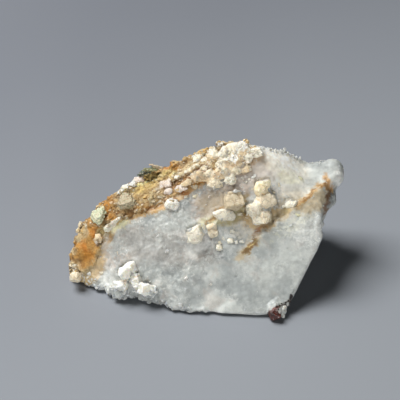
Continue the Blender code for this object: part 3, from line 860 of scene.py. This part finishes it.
def white_rock(finish):
    """The whole block: sugary, sunk under crust and crystals, broken at the back and flat underneath."""
    rock = rock_block()
    mark_rock(rock)
    reliefs(rock, (
        (ROCK_LUMPS, 0.5, "rough", 0.3),
        (ROCK_GRAINS, 0.13, "rough", 0.4),
        (ROCK_SUGAR, 0.12, "all", 0.5),
        (EVEN, -0.6, "under", 0.0),
        (EVEN, -0.8, "hidden", 0.0),
        (EVEN, 0.5, "collar", 0.0),
    ))
    modify(rock, "DISPLACE", direction="X", strength=-1.2 * MM, mid_level=0.0, vertex_group="right edge")
    reliefs(rock, (
        (RIM_SUGAR, 0.9, "rim", 0.35),
        (BROKEN_BACK, 1.3, "far side", 0.5),
        (BACK_CHIPS, 0.5, "far side", 0.4),
    ))
    soften(rock, 40, "knob")
    reliefs(rock, ((EVEN, 0.5, "over ruby", 0.0), (EVEN, -1.6, "bare ruby", 0.0)))
    not_below(rock, 0.0)
    rock.vertex_groups.clear()
    points, _ = skin_points(rock)
    paint(rock, rock_ground, (CRUST_STAINS, 0.8 * smooth(-0.9, 0.3, seam_height(points))), (ROCK_STAINS_AND_PAINTED_LIGHT, 1.0))
    select(rock)
    bpy.ops.object.shade_smooth()
    return handed_over(rock, finish, "white_rock", "matrix")


def crumbled(thing, size, height, weights):
    """Breaks the skin into grains of that size that bulge between creases, and keeps both; the finish paints
    shade into the creases.
    """
    points, _ = skin_points(thing)
    crease = np.zeros(len(points))
    grain = np.zeros(len(points))
    for index, point in enumerate(points):
        place = Vector(point) / (size * MM)
        place += noise.noise_vector(place * 0.7) * 0.7 + noise.noise_vector(place * 2.5) * 0.25
        far, cells = noise.voronoi(place)
        crease[index] = far[1] - far[0]
        grain[index] = noise.cell(cells[0] * 37.0)
    bulge = smooth(0.0, 0.5, crease)
    group_of(thing, "bulge", bulge * weights)
    bulge = 1 - (1 - bulge) * weights
    grain = 0.4 + (grain - 0.4) * weights
    modify(thing, "DISPLACE", strength=height * MM, mid_level=0.0, vertex_group="bulge")
    for name, values in (("crease", bulge), ("grain", grain), ("loose", weights)):
        keep_values(thing, name, values)


# Lines on the crust, in dots: the smooth orange foot, the torn fissure along the crest, and the pit beside
# the far mica.
ORANGE_FOOT = ((92, 236), (88, 248), (86, 258))
FISSURE = ((164, 198), (168, 188), (176, 182), (188, 175), (206, 166))
PIT = ((156, 168), (166, 166))


def stained_crust(finish):
    """The crumbly crust: lumps, grains and pits, and the torn fissure along the crest."""
    crust = merged_copy("stained_crust", ["iron_stained_crust"])
    swell(crust, 0.10)
    remesh(crust, 0.21)
    soften(crust, 8)
    points, _ = skin_points(crust)
    px, py = in_picture(points)
    calm = smooth(15, 6, line_distance(px, py, ORANGE_FOOT))
    low = smooth(0.8, 2.0, points[:, 2] / MM)
    rough = (1.0 - 0.9 * calm) * low
    group_of(crust, "rough", rough)
    seam = seam_height(points)
    group_of(crust, "edge", smooth(0.75, 0.2, seam))
    fissure = smooth(3.2, 0.6, line_distance(px, py, FISSURE))
    pit = smooth(6, 2, line_distance(px, py, PIT)) * 0.9
    group_of(crust, "fissure", np.maximum(fissure, pit) * smooth(0.3, 1.2, seam))
    to_crystal = distance_to(points, ON_STONE, 1.0)
    group_of(crust, "hidden", smooth(0.5, 0.3, to_crystal) * smooth(0.3, 0.8, seam))
    relief(crust, CRUST_LUMPS, 1.1, "rough")
    crumbled(crust, 1.5, 0.28, rough)
    reliefs(crust, (
        (CRUST_CRUMBS, 0.45, "rough", 0.4),
        (EVEN, -0.45, "edge", 0.0),
        (EVEN, -1.0, "fissure", 0.0),
        (EVEN, -0.5, "hidden", 0.0),
    ))
    crust.vertex_groups.clear()
    paint(crust, crust_ground, (CRUST_STAINS, 1.0))
    select(crust)
    bpy.ops.object.shade_smooth()
    return handed_over(crust, finish, "stained_crust", "iron_stained_crust")


# Crystals.

CRYSTAL_LUMPS = pattern("crystal_lumps", "CLOUDS", 1.1, noise_depth=1)
CRYSTAL_CRACKS = pattern("crystal_cracks", "VORONOI", 1.3, weight_1=-1.0, weight_2=1.0, noise_intensity=1.6)
CRYSTAL_PITS = pattern("crystal_pits", "CLOUDS", 0.35, noise_depth=1)


def worn(thing, seed, cell, rough, soft):
    """Wears a crystal's edges and pits its faces. Each seed takes its own part of the patterns."""
    remesh(thing, cell)
    soften(thing, soft)
    aside = Vector((seed * 7.3, 0, 0)) * MM
    thing.data.transform(Matrix.Translation(aside))
    relief(thing, CRYSTAL_LUMPS, 0.42 * rough)
    relief(thing, CRYSTAL_CRACKS, 0.20 * rough, mid=0.6)
    relief(thing, CRYSTAL_PITS, 0.13 * rough)
    thing.data.transform(Matrix.Translation(-aside))
    bpy.ops.object.shade_smooth()
    return thing


def chipped_crystal(size, cuts, seed):
    """A crystal as found: a block in mm with its corners struck off."""
    draw = random.Random(seed)
    half = [0.5 * side * MM for side in size]
    bpy.ops.object.select_all(action="DESELECT")
    bpy.ops.mesh.primitive_cube_add(size=1)
    thing = bpy.context.object
    thing.scale = [2 * h for h in half]
    bpy.ops.object.transform_apply(location=False, rotation=False, scale=True)
    bpy.ops.object.mode_set(mode="EDIT")
    for _ in range(cuts):
        out = Vector([draw.gauss(0, 1) for _ in range(3)]).normalized()
        reach = math.sqrt(sum((out[axis] * half[axis]) ** 2 for axis in range(3)))
        bpy.ops.mesh.select_all(action="SELECT")
        bpy.ops.mesh.bisect(plane_co=out * reach * draw.uniform(0.92, 1.06), plane_no=out, use_fill=True,
                            clear_outer=True, threshold=0.001 * MM)
    bpy.ops.object.mode_set(mode="OBJECT")
    return thing


# Crystals that are solids of their own: node, dot right and down, width, height and thickness in mm,
# turn in degrees, cuts, tint.
LONE_CRYSTALS = (
    ("cream_crystal_block", 233.6, 198.2, 4.4, 3.7, 3.3, 10, 2, "beige"),
    ("cream_crystal_lens", 224.4, 215.0, 5.1, 2.6, 2.9, -4, 16, "pearl"),
    ("cream_crystal_round", 195.0, 234.3, 3.6, 3.8, 2.9, 20, 14, "pearl"),
    ("cream_crystal_far", 290.7, 203.1, 2.8, 1.9, 2.3, 15, 9, "ivory"),
    ("cream_crystal_edge", 174.3, 204.6, 3.3, 2.6, 2.7, -12, 12, "frost"),
    ("cream_crystal_left", 98.4, 240.0, 1.8, 2.2, 2.0, 10, 12, "peach"),
    ("cream_crystal_toe", 76.4, 272.2, 2.7, 2.4, 2.5, 20, 8, "cream"),
    ("cream_crystal_bead", 230.4, 241.2, 1.6, 1.4, 1.6, 0, 12, "ivory"),
    ("cream_crystal_cube", 219.2, 246.8, 1.6, 1.5, 1.6, 8, 4, "ivory"),
    ("white_crystal_wing", 148.4, 291.2, 4.8, 2.8, 2.8, -22, 8, "frost"),
)

# Crystals grown together: node, then each crystal's place, size, turn, cuts and tint.
GROWN_TOGETHER = {
    "cream_pair": (
        (212.9, 226.2, 2.5, 1.7, 2.0, 8, 12, "cream"),
        (213.1, 233.7, 2.4, 1.9, 2.0, 30, 10, "cream"),
    ),
    "cream_cluster": (
        (263.7, 186.4, 3.6, 3.4, 3.1, 40, 20, "butter"),
        (267.4, 200.9, 4.7, 3.2, 3.3, 12, 14, "cream"),
        (257.1, 208.9, 2.8, 2.4, 2.9, -30, 12, "ivory"),
        (250.6, 214.0, 3.2, 3.0, 2.9, -25, 10, "ivory"),
        (256.6, 221.0, 2.6, 2.2, 2.9, 8, 12, "ivory"),
        (267.0, 215.9, 2.8, 3.2, 3.1, 4, 12, "cream"),
    ),
    "white_cluster": (
        (128.8, 273.0, 4.5, 3.2, 3.0, 28, 6, "frost"),
        (133.0, 284.6, 3.6, 3.8, 3.2, 24, 4, "frost"),
        (119.8, 291.0, 4.2, 3.2, 2.8, 12, 7, "snow"),
        (125.5, 295.1, 2.1, 1.8, 2.5, 40, 8, "snow"),
    ),
    "crest_crystals": (
        (240.6, 150.2, 3.7, 3.2, 3.0, 5, 14, "frost"),
        (254.9, 152.2, 2.6, 2.2, 2.5, 20, 9, "ivory"),
        (219.6, 151.0, 3.6, 2.6, 2.2, -10, 14, "pearl"),
        (230.2, 151.0, 2.9, 2.6, 2.5, 40, 6, "pearl"),
        (213.0, 154.4, 2.7, 2.3, 2.2, 15, 9, "ivory"),
        (202.8, 151.7, 2.2, 1.7, 2.3, 10, 12, "honey"),
        (196.3, 158.3, 2.9, 2.3, 2.3, 32, 6, "ivory"),
        (241.7, 154.1, 2.7, 2.1, 2.3, 0, 9, "peach"),
        (248.3, 157.8, 2.1, 1.9, 2.1, 30, 9, "ivory"),
        (234.7, 158.8, 2.6, 2.3, 2.5, 50, 7, "frost"),
        (224.4, 156.0, 2.6, 2.1, 2.3, 20, 9, "ivory"),
        (212.2, 157.8, 2.8, 2.1, 2.3, 28, 7, "peach"),
        (230.0, 164.9, 3.0, 2.4, 2.5, 35, 7, "peach"),
        (220.6, 163.9, 2.3, 2.0, 2.1, 10, 9, "cream"),
        (240.3, 163.0, 2.0, 1.8, 2.1, 0, 9, "peach"),
        (236.1, 170.5, 2.3, 1.9, 2.3, 25, 9, "cream"),
        (245.5, 168.6, 2.1, 1.6, 1.9, 14, 12, "peach"),
        (227.2, 171.9, 2.1, 1.8, 2.1, 45, 9, "cream"),
        (230.5, 178.4, 2.3, 2.1, 2.1, 0, 16, "ivory"),
        (218.3, 174.7, 2.4, 2.1, 2.3, 20, 9, "peach"),
        (209.4, 172.8, 2.1, 1.9, 2.1, 60, 9, "cream"),
        (200.9, 178.9, 2.8, 2.2, 2.5, 12, 8, "peach"),
        (215.5, 183.6, 3.3, 1.6, 2.1, -6, 9, "cream"),
    ),
}

# Crystals that are too small for solids: dot right and down, width, height and thickness in mm,
# turn in degrees, cuts, tint.
SMALL_CRYSTALS = (
    (242, 178, 1.1, 1.0, 1.0, 0, 8, "ivory"), (253.6, 177, 1.6, 1.0, 1.1, 20, 8, "chalk"),
    (249, 180, 0.8, 0.8, 0.8, 10, 8, "ivory"), (232.5, 231.5, 1.2, 1.2, 1.1, 0, 9, "ivory"),
    (222.5, 239.5, 1.3, 1.3, 1.1, 20, 9, "ivory"), (220, 242, 1.0, 0.9, 1.0, 0, 9, "cream"),
    (236.0, 242.2, 1.2, 1.1, 1.1, 40, 9, "ivory"), (241.7, 242, 1.2, 1.1, 1.1, 15, 8, "ivory"),
    (245.7, 182, 0.9, 0.8, 0.8, 0, 8, "ivory"), (253, 188.6, 0.9, 0.8, 0.9, 0, 8, "cream"),
    (241, 186.5, 0.9, 0.8, 0.8, 30, 8, "ivory"), (279, 185, 1.1, 1.1, 1.1, 10, 9, "cream"),
    (278.5, 219, 1.1, 1.0, 1.0, 0, 9, "beige"), (195, 196.4, 1.5, 1.3, 1.3, 0, 9, "butter"),
    (186, 197, 1.1, 0.9, 1.0, 25, 8, "cream"), (209, 197, 1.0, 0.9, 1.0, 0, 8, "blush"),
    (298, 215.7, 1.2, 1.0, 1.0, 10, 8, "moss"), (290.7, 225, 1.0, 0.9, 0.9, 0, 8, "milk"),
    (207, 184, 1.3, 1.0, 1.1, 10, 8, "ivory"), (222, 186, 1.1, 0.9, 1.0, 50, 8, "cream"),
    (149.7, 281.4, 0.8, 0.8, 0.8, 0, 8, "chalk"), (117, 253.6, 0.8, 0.8, 0.8, 0, 8, "cream"),
    (101.4, 272.9, 1.0, 0.9, 0.9, 0, 8, "cream"), (88.6, 274, 1.2, 1.0, 1.0, 0, 8, "chalk"),
    # The frost crystals on this line and the next are real grains, tinted whiter as painted glints.
    (167, 251.4, 1.4, 1.2, 0.7, 30, 6, "frost"), (187, 278.6, 1.7, 1.1, 0.8, 60, 6, "frost"),
    (158.6, 235, 1.1, 0.9, 0.7, 0, 6, "frost"), (211, 284, 1.1, 0.8, 0.6, 20, 6, "frost"),
    (181, 305, 1.3, 1.2, 1.0, 0, 8, "chalk"), (74.3, 266.5, 1.4, 1.4, 1.3, 0, 9, "cream"),
    (83, 276, 1.2, 1.0, 1.2, 0, 9, "ivory"), (300, 178, 1.5, 0.9, 0.8, -25, 6, "moss"),
    (239, 193, 0.9, 0.7, 0.8, 0, 7, "ivory"), (259, 179, 1.0, 0.9, 0.9, 0, 7, "cream"),
    (272, 192, 1.1, 1.2, 1.1, 0, 7, "cream"), (276, 207, 1.0, 1.1, 1.0, 0, 7, "ivory"),
    (246, 224, 1.0, 0.8, 0.9, 0, 7, "cream"), (240.5, 214, 1.5, 1.0, 1.1, -10, 8, "cream"),
    (284, 206, 1.2, 1.0, 1.0, 0, 8, "ivory"), (297, 201, 1.1, 0.9, 0.9, 0, 8, "cream"),
    (205, 227, 0.9, 1.0, 0.9, 0, 8, "cream"), (188, 241, 1.0, 0.8, 0.8, 0, 8, "ivory"),
    (165, 185, 3.4, 2.5, 1.9, 20, 9, "blush"), (168.5, 191.5, 2.2, 1.7, 1.4, 0, 9, "blush"),
    (80, 224.5, 1.7, 1.4, 1.4, 10, 9, "beige"), (76.5, 230, 1.4, 1.2, 1.2, 0, 9, "peach"),
    (86.5, 226.5, 1.6, 1.3, 1.2, 30, 9, "beige"), (82, 232, 1.3, 1.0, 1.0, 0, 9, "honey"),
    (138, 179.5, 3.0, 2.2, 1.8, 30, 8, "blush"), (132, 183.5, 2.2, 1.8, 1.4, 0, 8, "chalk"),
    (125, 188, 2.6, 1.9, 1.6, 20, 8, "ivory"), (118.5, 192.5, 1.3, 1.0, 1.0, 0, 8, "ivory"),
    (144.5, 173.5, 1.4, 1.0, 1.0, 30, 8, "chalk"), (187, 171.5, 2.8, 1.1, 1.0, 25, 8, "cream"),
    (178, 176.5, 1.8, 0.9, 0.9, 28, 8, "ivory"), (193, 175.5, 1.9, 1.0, 1.0, 20, 8, "peach"),
    (186.5, 183, 2.3, 1.5, 1.4, 25, 9, "peach"), (195, 187, 1.9, 1.3, 1.3, 10, 9, "beige"),
    (181, 188, 2.7, 1.9, 1.5, 30, 9, "blush"), (204, 168.5, 2.0, 1.2, 1.2, 24, 9, "cream"),
    (205, 160, 2.4, 1.6, 1.4, 30, 9, "ivory"), (195, 166, 2.2, 1.1, 1.1, 28, 9, "cream"),
    (160, 197, 1.7, 1.1, 1.1, 10, 9, "beige"), (152, 201, 1.5, 1.2, 1.1, 0, 9, "putty"),
    (145, 197, 1.6, 1.2, 1.1, 40, 9, "honey"), (81, 279.5, 1.6, 1.1, 1.1, 0, 9, "blush"),
    (139.5, 185, 1.9, 1.5, 1.2, 20, 8, "yellow"), (146.5, 182.5, 1.6, 1.3, 1.0, 0, 8, "yellow"),
    (283.5, 311.3, 2.0, 2.3, 1.4, -35, 6, "milk"), (288, 305, 1.0, 0.9, 0.8, 0, 7, "milk"),
)


def grow(thing, skin, solid, px, py, thick, turn, deep=0.1):
    """Sets a crystal under a dot of the picture: down into its own solid, or else on the skin."""
    top = seat(solid, px, py, reach=3)[0] if solid else None
    point, normal = seat(skin, px, py, 2.2)
    point = top - normal * (0.45 * thick + deep) * MM if top else point - normal * 0.18 * thick * MM
    thing.data.transform(stance(point, normal, turn))
    return thing


def tinted_near(thing, spots, brown):
    """Each place takes the tint of the nearest spot: dot right, dot down, tint. Between two it is brown."""
    points, _ = skin_points(thing)
    px, py = in_picture(points)
    shift = wavering(points, 0.8, 2.0)
    far = np.array([np.hypot(px + shift[0] - x, py + shift[1] - y) for x, y, _ in spots])
    shades = np.array([(*tone(hue), 1.0) for _, _, hue in spots])[np.argmin(far, axis=0)]
    if len(spots) > 1:
        nearest = np.sort(far, axis=0)
        between = brown * smooth(1.2, 0.1, nearest[1] - nearest[0])[:, None]
        shades = shades * (1 - between) + np.array((*tone("ochre"), 1.0)) * between
    keep_tint(thing, shades)


def crystal_pieces(skin, cream, white):
    """Every crystal that stands for a solid, alone or grown together. They come back by name."""
    solid = skin_tree(*[NODES[name] for name in ON_STONE])
    groups = {row[0]: (row[1:],) for row in LONE_CRYSTALS}
    groups.update(GROWN_TOGETHER)
    made = {}
    for number, (node, rows) in enumerate(groups.items()):
        crest = node == "crest_crystals"
        close, deep = (1.15, 0.25) if crest else (1.0, 0.1)
        parts = [merged_copy(node, [node])]
        swell(parts[0], -0.35 if crest else -0.40)
        for seed, (px, py, width, height, thick, turn, cuts, _) in enumerate(rows):
            size = (width * close, height * close, thick * 0.85)
            block = chipped_crystal(size, cuts + 6, 200 + 40 * number + seed)
            parts.append(grow(block, skin, solid, px, py, size[2], turn, deep))
        pale = node.startswith("white")
        rough, soft = (1.7, 4) if pale else (0.8, 7)
        thing = worn(joined(parts, node + "_worn"), 150 + number, 0.14, rough, soft)
        tinted_near(thing, [(row[0], row[1], row[7]) for row in rows], 0.25 if crest else 0.45)
        slot = "white_crystal" if pale else "cream_crystal"
        made[node] = handed_over(thing, white if pale else cream, slot, node)
    return made


def small_crystals(skin, finish):
    """The crystals too small for solids, in one piece."""
    made = []
    for seed, (px, py, width, height, thick, turn, cuts, hue) in enumerate(SMALL_CRYSTALS, 400):
        thing = worn(chipped_crystal((width, height, thick), cuts + 3, seed), seed, 0.12, 1.5, 3)
        tinted(thing, hue)
        made.append(grow(thing, skin, None, px, py, thick, turn))
    handed_over(joined(made, "small_crystals"), finish, "cream_crystal")


# Grains.

def strew(name, shapes, spots, finish, slot):
    """Copies the shapes to the spots, each a matrix and a tint, and joins them into one piece."""
    copies = []
    for index, (place, hue) in enumerate(spots):
        mesh = shapes[index % len(shapes)].data.copy()
        mesh.transform(place)
        copy = bpy.data.objects.new(name, mesh)
        bpy.context.scene.collection.objects.link(copy)
        tinted(copy, hue)
        copies.append(copy)
    handed_over(joined(copies, name), finish, slot)


def random_turn(draw):
    """A turn by any angle about any axis."""
    angle = draw.uniform(0, 6.28)
    return Matrix.Rotation(angle, 4, Vector([draw.gauss(0, 1) for _ in range(3)]).normalized())


def grains_on(thing, count, sizes, hues, seed, keep, sunk, blend):
    """Random spots on a skin where keep(px, py, point, normal) is true: a matrix and a tint for each.
    Sizes are in mm, sunk is a share of the size, and the tints lean to the skin's own by blend."""
    draw = random.Random(seed)
    points, normals = skin_points(thing)
    px, py = in_picture(points)
    tints = np.zeros(len(points) * 4)
    thing.data.attributes["tint"].data.foreach_get("color", tints)
    tints = tints.reshape(-1, 4)[:, :3]
    spots = []
    for _ in range(count * 60):
        index = draw.randrange(len(points))
        point, normal = Vector(points[index]), Vector(normals[index])
        if not keep(px[index], py[index], point, normal):
            continue
        size = draw.uniform(*sizes) * draw.uniform(0.7, 1.0)
        stretch = Matrix.Diagonal((size, size * draw.uniform(0.7, 1.0), size * draw.uniform(0.6, 0.9), 1))
        place = Matrix.Translation(point + normal * size * sunk * MM) @ random_turn(draw) @ stretch
        hue = np.array(tone(draw.choice(hues))) * (1 - blend) + tints[index] * blend
        spots.append((place, hue))
        if len(spots) == count:
            break
    return spots


CREST_LINE = ((256, 147), (284, 149), (302, 156), (322, 163))


def on_crust(px, py, point, normal):
    """On the crust, but not on its smooth orange foot."""
    foot = 78 < px < 104 and 228 < py < 266
    return seam_height(np.array([point]))[0] > 0.6 and point.z > 1.5 * MM and not foot


def on_face(px, py, point, normal):
    """On the bare rock, away from the ruby's corner."""
    corner = px > 262 and py > 296
    return seam_height(np.array([point]))[0] < 0 and point.z > 1.0 * MM and normal.z > -0.3 and not corner


def on_top(px, py, point, normal):
    """On the side of the crest crystals that the eye sees."""
    return normal.z > -0.2 and normal.y < 0.5 and py > 150


def on_crest(px, py, point, normal):
    """Along the skyline of the bare rock."""
    return line_distance(np.array(px), np.array(py), CREST_LINE) < 4.5 and normal.y < 0.6


def on_lower_rim(px, py, point, normal):
    """Along the sugary lower edge."""
    return line_distance(np.array(px), np.array(py), LOWER_RIM) < 5 and normal.y < -0.2 and point.z > 0.6 * MM


def all_grains(rock, crust, crest, rock_finish, crust_finish, crest_finish):
    """Loose and half-sunk grains on the crest, the crust and the rock, all from six chipped ones."""
    shapes = [chipped_crystal((1.0, 0.85, 0.75), 7, 900 + seed) for seed in range(6)]
    spots = grains_on(crest, 170, (0.3, 0.85), ("cream", "ivory", "peach", "moss"), 8, on_top, -0.2, 0.3)
    strew("crest_crumbs", shapes, spots, crest_finish, "cream_crystal")
    spots = grains_on(crust, 220, (0.4, 1.0), ("cream", "ivory", "peach", "beige"), 3, on_crust, -0.22, 0.5)
    strew("crust_grains_pale", shapes, spots, crust_finish, "stained_crust")
    spots = grains_on(crust, 200, (0.3, 0.9), ("ochre", "cream", "honey", "umber"), 4, on_crust, -0.2, 0.5)
    strew("crust_grains_stained", shapes, spots, crust_finish, "stained_crust")
    spots = grains_on(rock, 220, (0.25, 0.6), ("chalk", "snow"), 5, on_face, -0.25, 0.3)
    spots += grains_on(rock, 110, (0.4, 0.9), ("chalk", "snow", "milk"), 6, on_crest, -0.15, 0.2)
    spots += grains_on(rock, 90, (0.6, 1.5), ("chalk", "snow", "milk"), 7, on_lower_rim, -0.25, 0.3)
    strew("rock_grains_white", shapes, spots, rock_finish, "white_rock")
    for shape in shapes:
        bpy.data.objects.remove(shape)


# Mica and ruby.

BOOK_WAVES = pattern("mica_waves", "CLOUDS", 2.2, noise_depth=1)
BOOK_CHIPS = pattern("mica_chips", "CLOUDS", 0.5, noise_depth=1)

# Books of each solid: dot right and down, width, height and thickness of a sheet in mm, number of sheets,
# turn and two leans in degrees, depth in mm, tint.
BOOKS = {
    "mica_book_left": (
        (98.0, 214.6, 3.7, 4.2, 0.22, 6, 24, -10, 8, 0.6, "sage"),
        (100.4, 209.6, 2.2, 1.7, 0.2, 3, 50, -20, 10, 0.4, "moss"),
    ),
    "mica_book_middle": (
        (125.4, 199.6, 3.9, 4.0, 0.26, 5, 40, 6, 8, 0.8, "khaki"),
        (128.4, 203.2, 2.0, 2.2, 0.2, 3, 10, 20, 0, 0.5, "putty"),
    ),
    "mica_book_edge": (
        (110.8, 225.0, 5.8, 1.3, 0.2, 3, 26, 0, 34, 0.3, "pearl"),
        (113.4, 222.6, 4.2, 0.8, 0.2, 2, 26, 0, 20, 0.2, "beige"),
    ),
    "mica_book_skyline": (
        (146.6, 171.4, 3.9, 2.0, 0.2, 4, 30, -6, -8, 0.3, "pine"),
        (151.6, 168.4, 4.2, 1.6, 0.2, 3, 32, 4, 0, 0.4, "leaf"),
        (156.4, 166.2, 3.2, 1.2, 0.2, 2, 28, -4, 8, 0.25, "beige"),
    ),
}


def mica_book(name, width, height, sheet, sheets, turn, lean, tip, seed):
    """A book of thin sheets: each a plate with chipped edges, a little turned and shifted."""
    draw = random.Random(seed)
    plates = []
    for index in range(sheets):
        bpy.ops.object.select_all(action="DESELECT")
        shrink = 1.0 - 0.035 * index + draw.uniform(-0.05, 0.05)
        bpy.ops.mesh.primitive_cylinder_add(vertices=18, radius=0.5, depth=sheet * 0.8 * MM,
                                            location=(0, 0, sheet * index * MM))
        plate = bpy.context.object
        bpy.ops.object.transform_apply(location=True, rotation=False, scale=False)
        for vertex in plate.data.vertices:
            angle = math.atan2(vertex.co.y, vertex.co.x)
            reach = 0.92 + 0.15 * math.sin(3 * angle + seed) + 0.08 * math.sin(7 * angle + 2.3 * index)
            vertex.co.x *= width * MM * shrink * reach
            vertex.co.y *= height * MM * shrink * reach
        bpy.ops.object.mode_set(mode="EDIT")
        bpy.ops.mesh.select_all(action="SELECT")
        bpy.ops.mesh.inset(thickness=0.3 * MM, depth=0)
        bpy.ops.mesh.subdivide(number_cuts=2)
        bpy.ops.object.mode_set(mode="OBJECT")
        plate.data.transform(Matrix.Rotation(draw.uniform(-0.12, 0.12), 4, "Z"))
        aside = Vector((draw.uniform(-0.2, 0.2), draw.uniform(-0.2, 0.2), 0)) * MM
        plate.data.transform(Matrix.Translation(aside))
        plate.data.transform(Matrix.Rotation(draw.uniform(-0.05, 0.05), 4, "X"))
        plates.append(plate)
    book = joined(plates, name)
    remesh(book, 0.09)
    soften(book, 2)
    relief(book, BOOK_WAVES, 0.5)
    relief(book, BOOK_CHIPS, 0.42)
    bpy.ops.object.shade_smooth()
    book.data.transform(
        Matrix.Rotation(math.radians(turn), 4, "Z")
        @ Matrix.Rotation(math.radians(lean), 4, "Y")
        @ Matrix.Rotation(math.radians(tip), 4, "X")
    )
    return book


def mica_books(skin, finish):
    """The books of every mica solid, each set into the crust under its dot of the picture."""
    for number, (node, rows) in enumerate(BOOKS.items()):
        solid = skin_tree(NODES[node])
        parts = []
        for seed, (px, py, width, height, sheet, sheets, turn, lean, tip, depth, hue) in enumerate(rows):
            book = mica_book(node, width, height, sheet, sheets, turn, lean, tip, 10 * number + seed)
            point, normal = seat(solid, px, py, 1.2, 4)
            point = point or seat(skin, px, py)[0]
            normal = seat(skin, px + 2, py + 4, 3.0)[1]
            book.data.transform(stance(point - normal * depth * MM, normal))
            tinted(book, hue)
            parts.append(book)
        handed_over(joined(parts, node + "_sheets"), finish, "green_mica", node)


def ruby_end(finish):
    """The ruby's dark end: its six-sided solid with worn edges and frosted, stepped faces."""
    ruby = merged_copy("ruby_end", ["ruby_crystal"])
    swell(ruby, 0.12)
    modify(ruby, "BEVEL", width=0.16 * MM, segments=2, limit_method="ANGLE", angle_limit=0.4)
    remesh(ruby, 0.12)
    relief(ruby, pattern("ruby_steps", "CLOUDS", 0.8, noise_depth=1), 0.24)
    relief(ruby, pattern("ruby_frost", "VORONOI", 0.45), 0.10)
    not_below(ruby, 0.02)
    bpy.ops.object.shade_smooth()
    handed_over(ruby, finish, "ruby", "ruby_crystal")


# Tiny clear prisms on the far crest: dot right and down, thickness and length in mm, lean in degrees.
PRISMS = (
    (284.4, 150.6, 0.75, 2.4, 4), (281.0, 152.0, 0.6, 1.8, -24), (287.4, 153.4, 0.55, 1.7, 26),
    (275.2, 151.0, 0.55, 1.6, -10), (269.4, 149.6, 0.6, 1.5, 14), (263.4, 148.4, 0.5, 1.4, -18),
    (293.2, 155.6, 0.5, 1.4, 12), (299.8, 158.4, 0.5, 1.3, -8),
)

# Black grains beside the ruby: dot right and down, width and height in mm, turn in degrees.
BLACK_GRAINS = (
    (291.0, 296.8, 0.65, 1.15, -12), (279.2, 305.4, 0.4, 0.35, 0), (281.4, 303.6, 0.35, 0.3, 20),
    (276.2, 306.8, 0.35, 0.4, 0), (285.4, 302.6, 0.4, 0.3, 10), (288.2, 300.6, 0.35, 0.35, 0),
    (290.6, 302.0, 0.3, 0.4, 0), (278.4, 309.6, 0.35, 0.3, 40), (289.2, 305.6, 0.3, 0.35, 0),
)


def quartz_prisms(skin, finish):
    """Six-sided prisms with a pointed end, standing up from the crest."""
    made = []
    for seed, (px, py, thick, length, lean) in enumerate(PRISMS):
        bpy.ops.object.select_all(action="DESELECT")
        bpy.ops.mesh.primitive_cylinder_add(vertices=6, radius=0.5 * thick * MM, depth=length * MM)
        prism = bpy.context.object
        bpy.ops.object.mode_set(mode="EDIT")
        for turn in range(6):
            slope = Vector((math.cos(turn * math.pi / 3), math.sin(turn * math.pi / 3), 0.8)).normalized()
            point = Vector((0, 0, (0.5 * length - 0.05 * (turn % 3)) * MM))
            bpy.ops.mesh.select_all(action="SELECT")
            bpy.ops.mesh.bisect(plane_co=point, plane_no=slope, use_fill=True, clear_outer=True,
                                threshold=0.0001 * MM)
        bpy.ops.object.mode_set(mode="OBJECT")
        point, _ = seat(skin, px, py, 1.0)
        tip = Matrix.Rotation(0.35, 4, "Y" if seed % 2 else "X")
        stand = Matrix.Rotation(math.radians(lean), 4, INTO) @ tip
        prism.data.transform(Matrix.Translation(point) @ stand)
        tinted(prism, "snow")
        made.append(prism)
    handed_over(joined(made, "quartz_prisms"), finish, "white_crystal")


def black_grains(skin, finish):
    """The black grains set in the corner beside the ruby."""
    made = []
    for seed, (px, py, width, height, turn) in enumerate(BLACK_GRAINS):
        grain = chipped_crystal((width, height, 0.6 * width), 8, 600 + seed)
        point, normal = seat(skin, px, py, 0.8)
        grain.data.transform(stance(point, normal, turn))
        made.append(grain)
    handed_over(joined(made, "black_grains"), finish, "green_mica")


# The whole stone.

def main():
    """The studio, then the stone from the inside out."""
    studio()
    cream = crystal_finish("cream_crystals", 0.7, 0.55, 0.55, "putty")
    white = crystal_finish("white_crystals", 0.8, 0.08, 0.4, "milk")
    crumbs = crystal_finish("crust_grains", 0.4, 0.4, 0.85, "ochre")
    rock = white_rock(white_rock_finish())
    crust = stained_crust(stained_crust_finish())
    skin = skin_tree(rock, crust)
    grown = crystal_pieces(skin, cream, white)
    small_crystals(skin, cream)
    mica_books(skin, mica_finish())
    ruby_end(ruby_finish())
    quartz_prisms(skin, quartz_finish())
    black_grains(skin, black_grain_finish())
    all_grains(rock, crust, grown["crest_crystals"], white, crumbs, cream)


main()
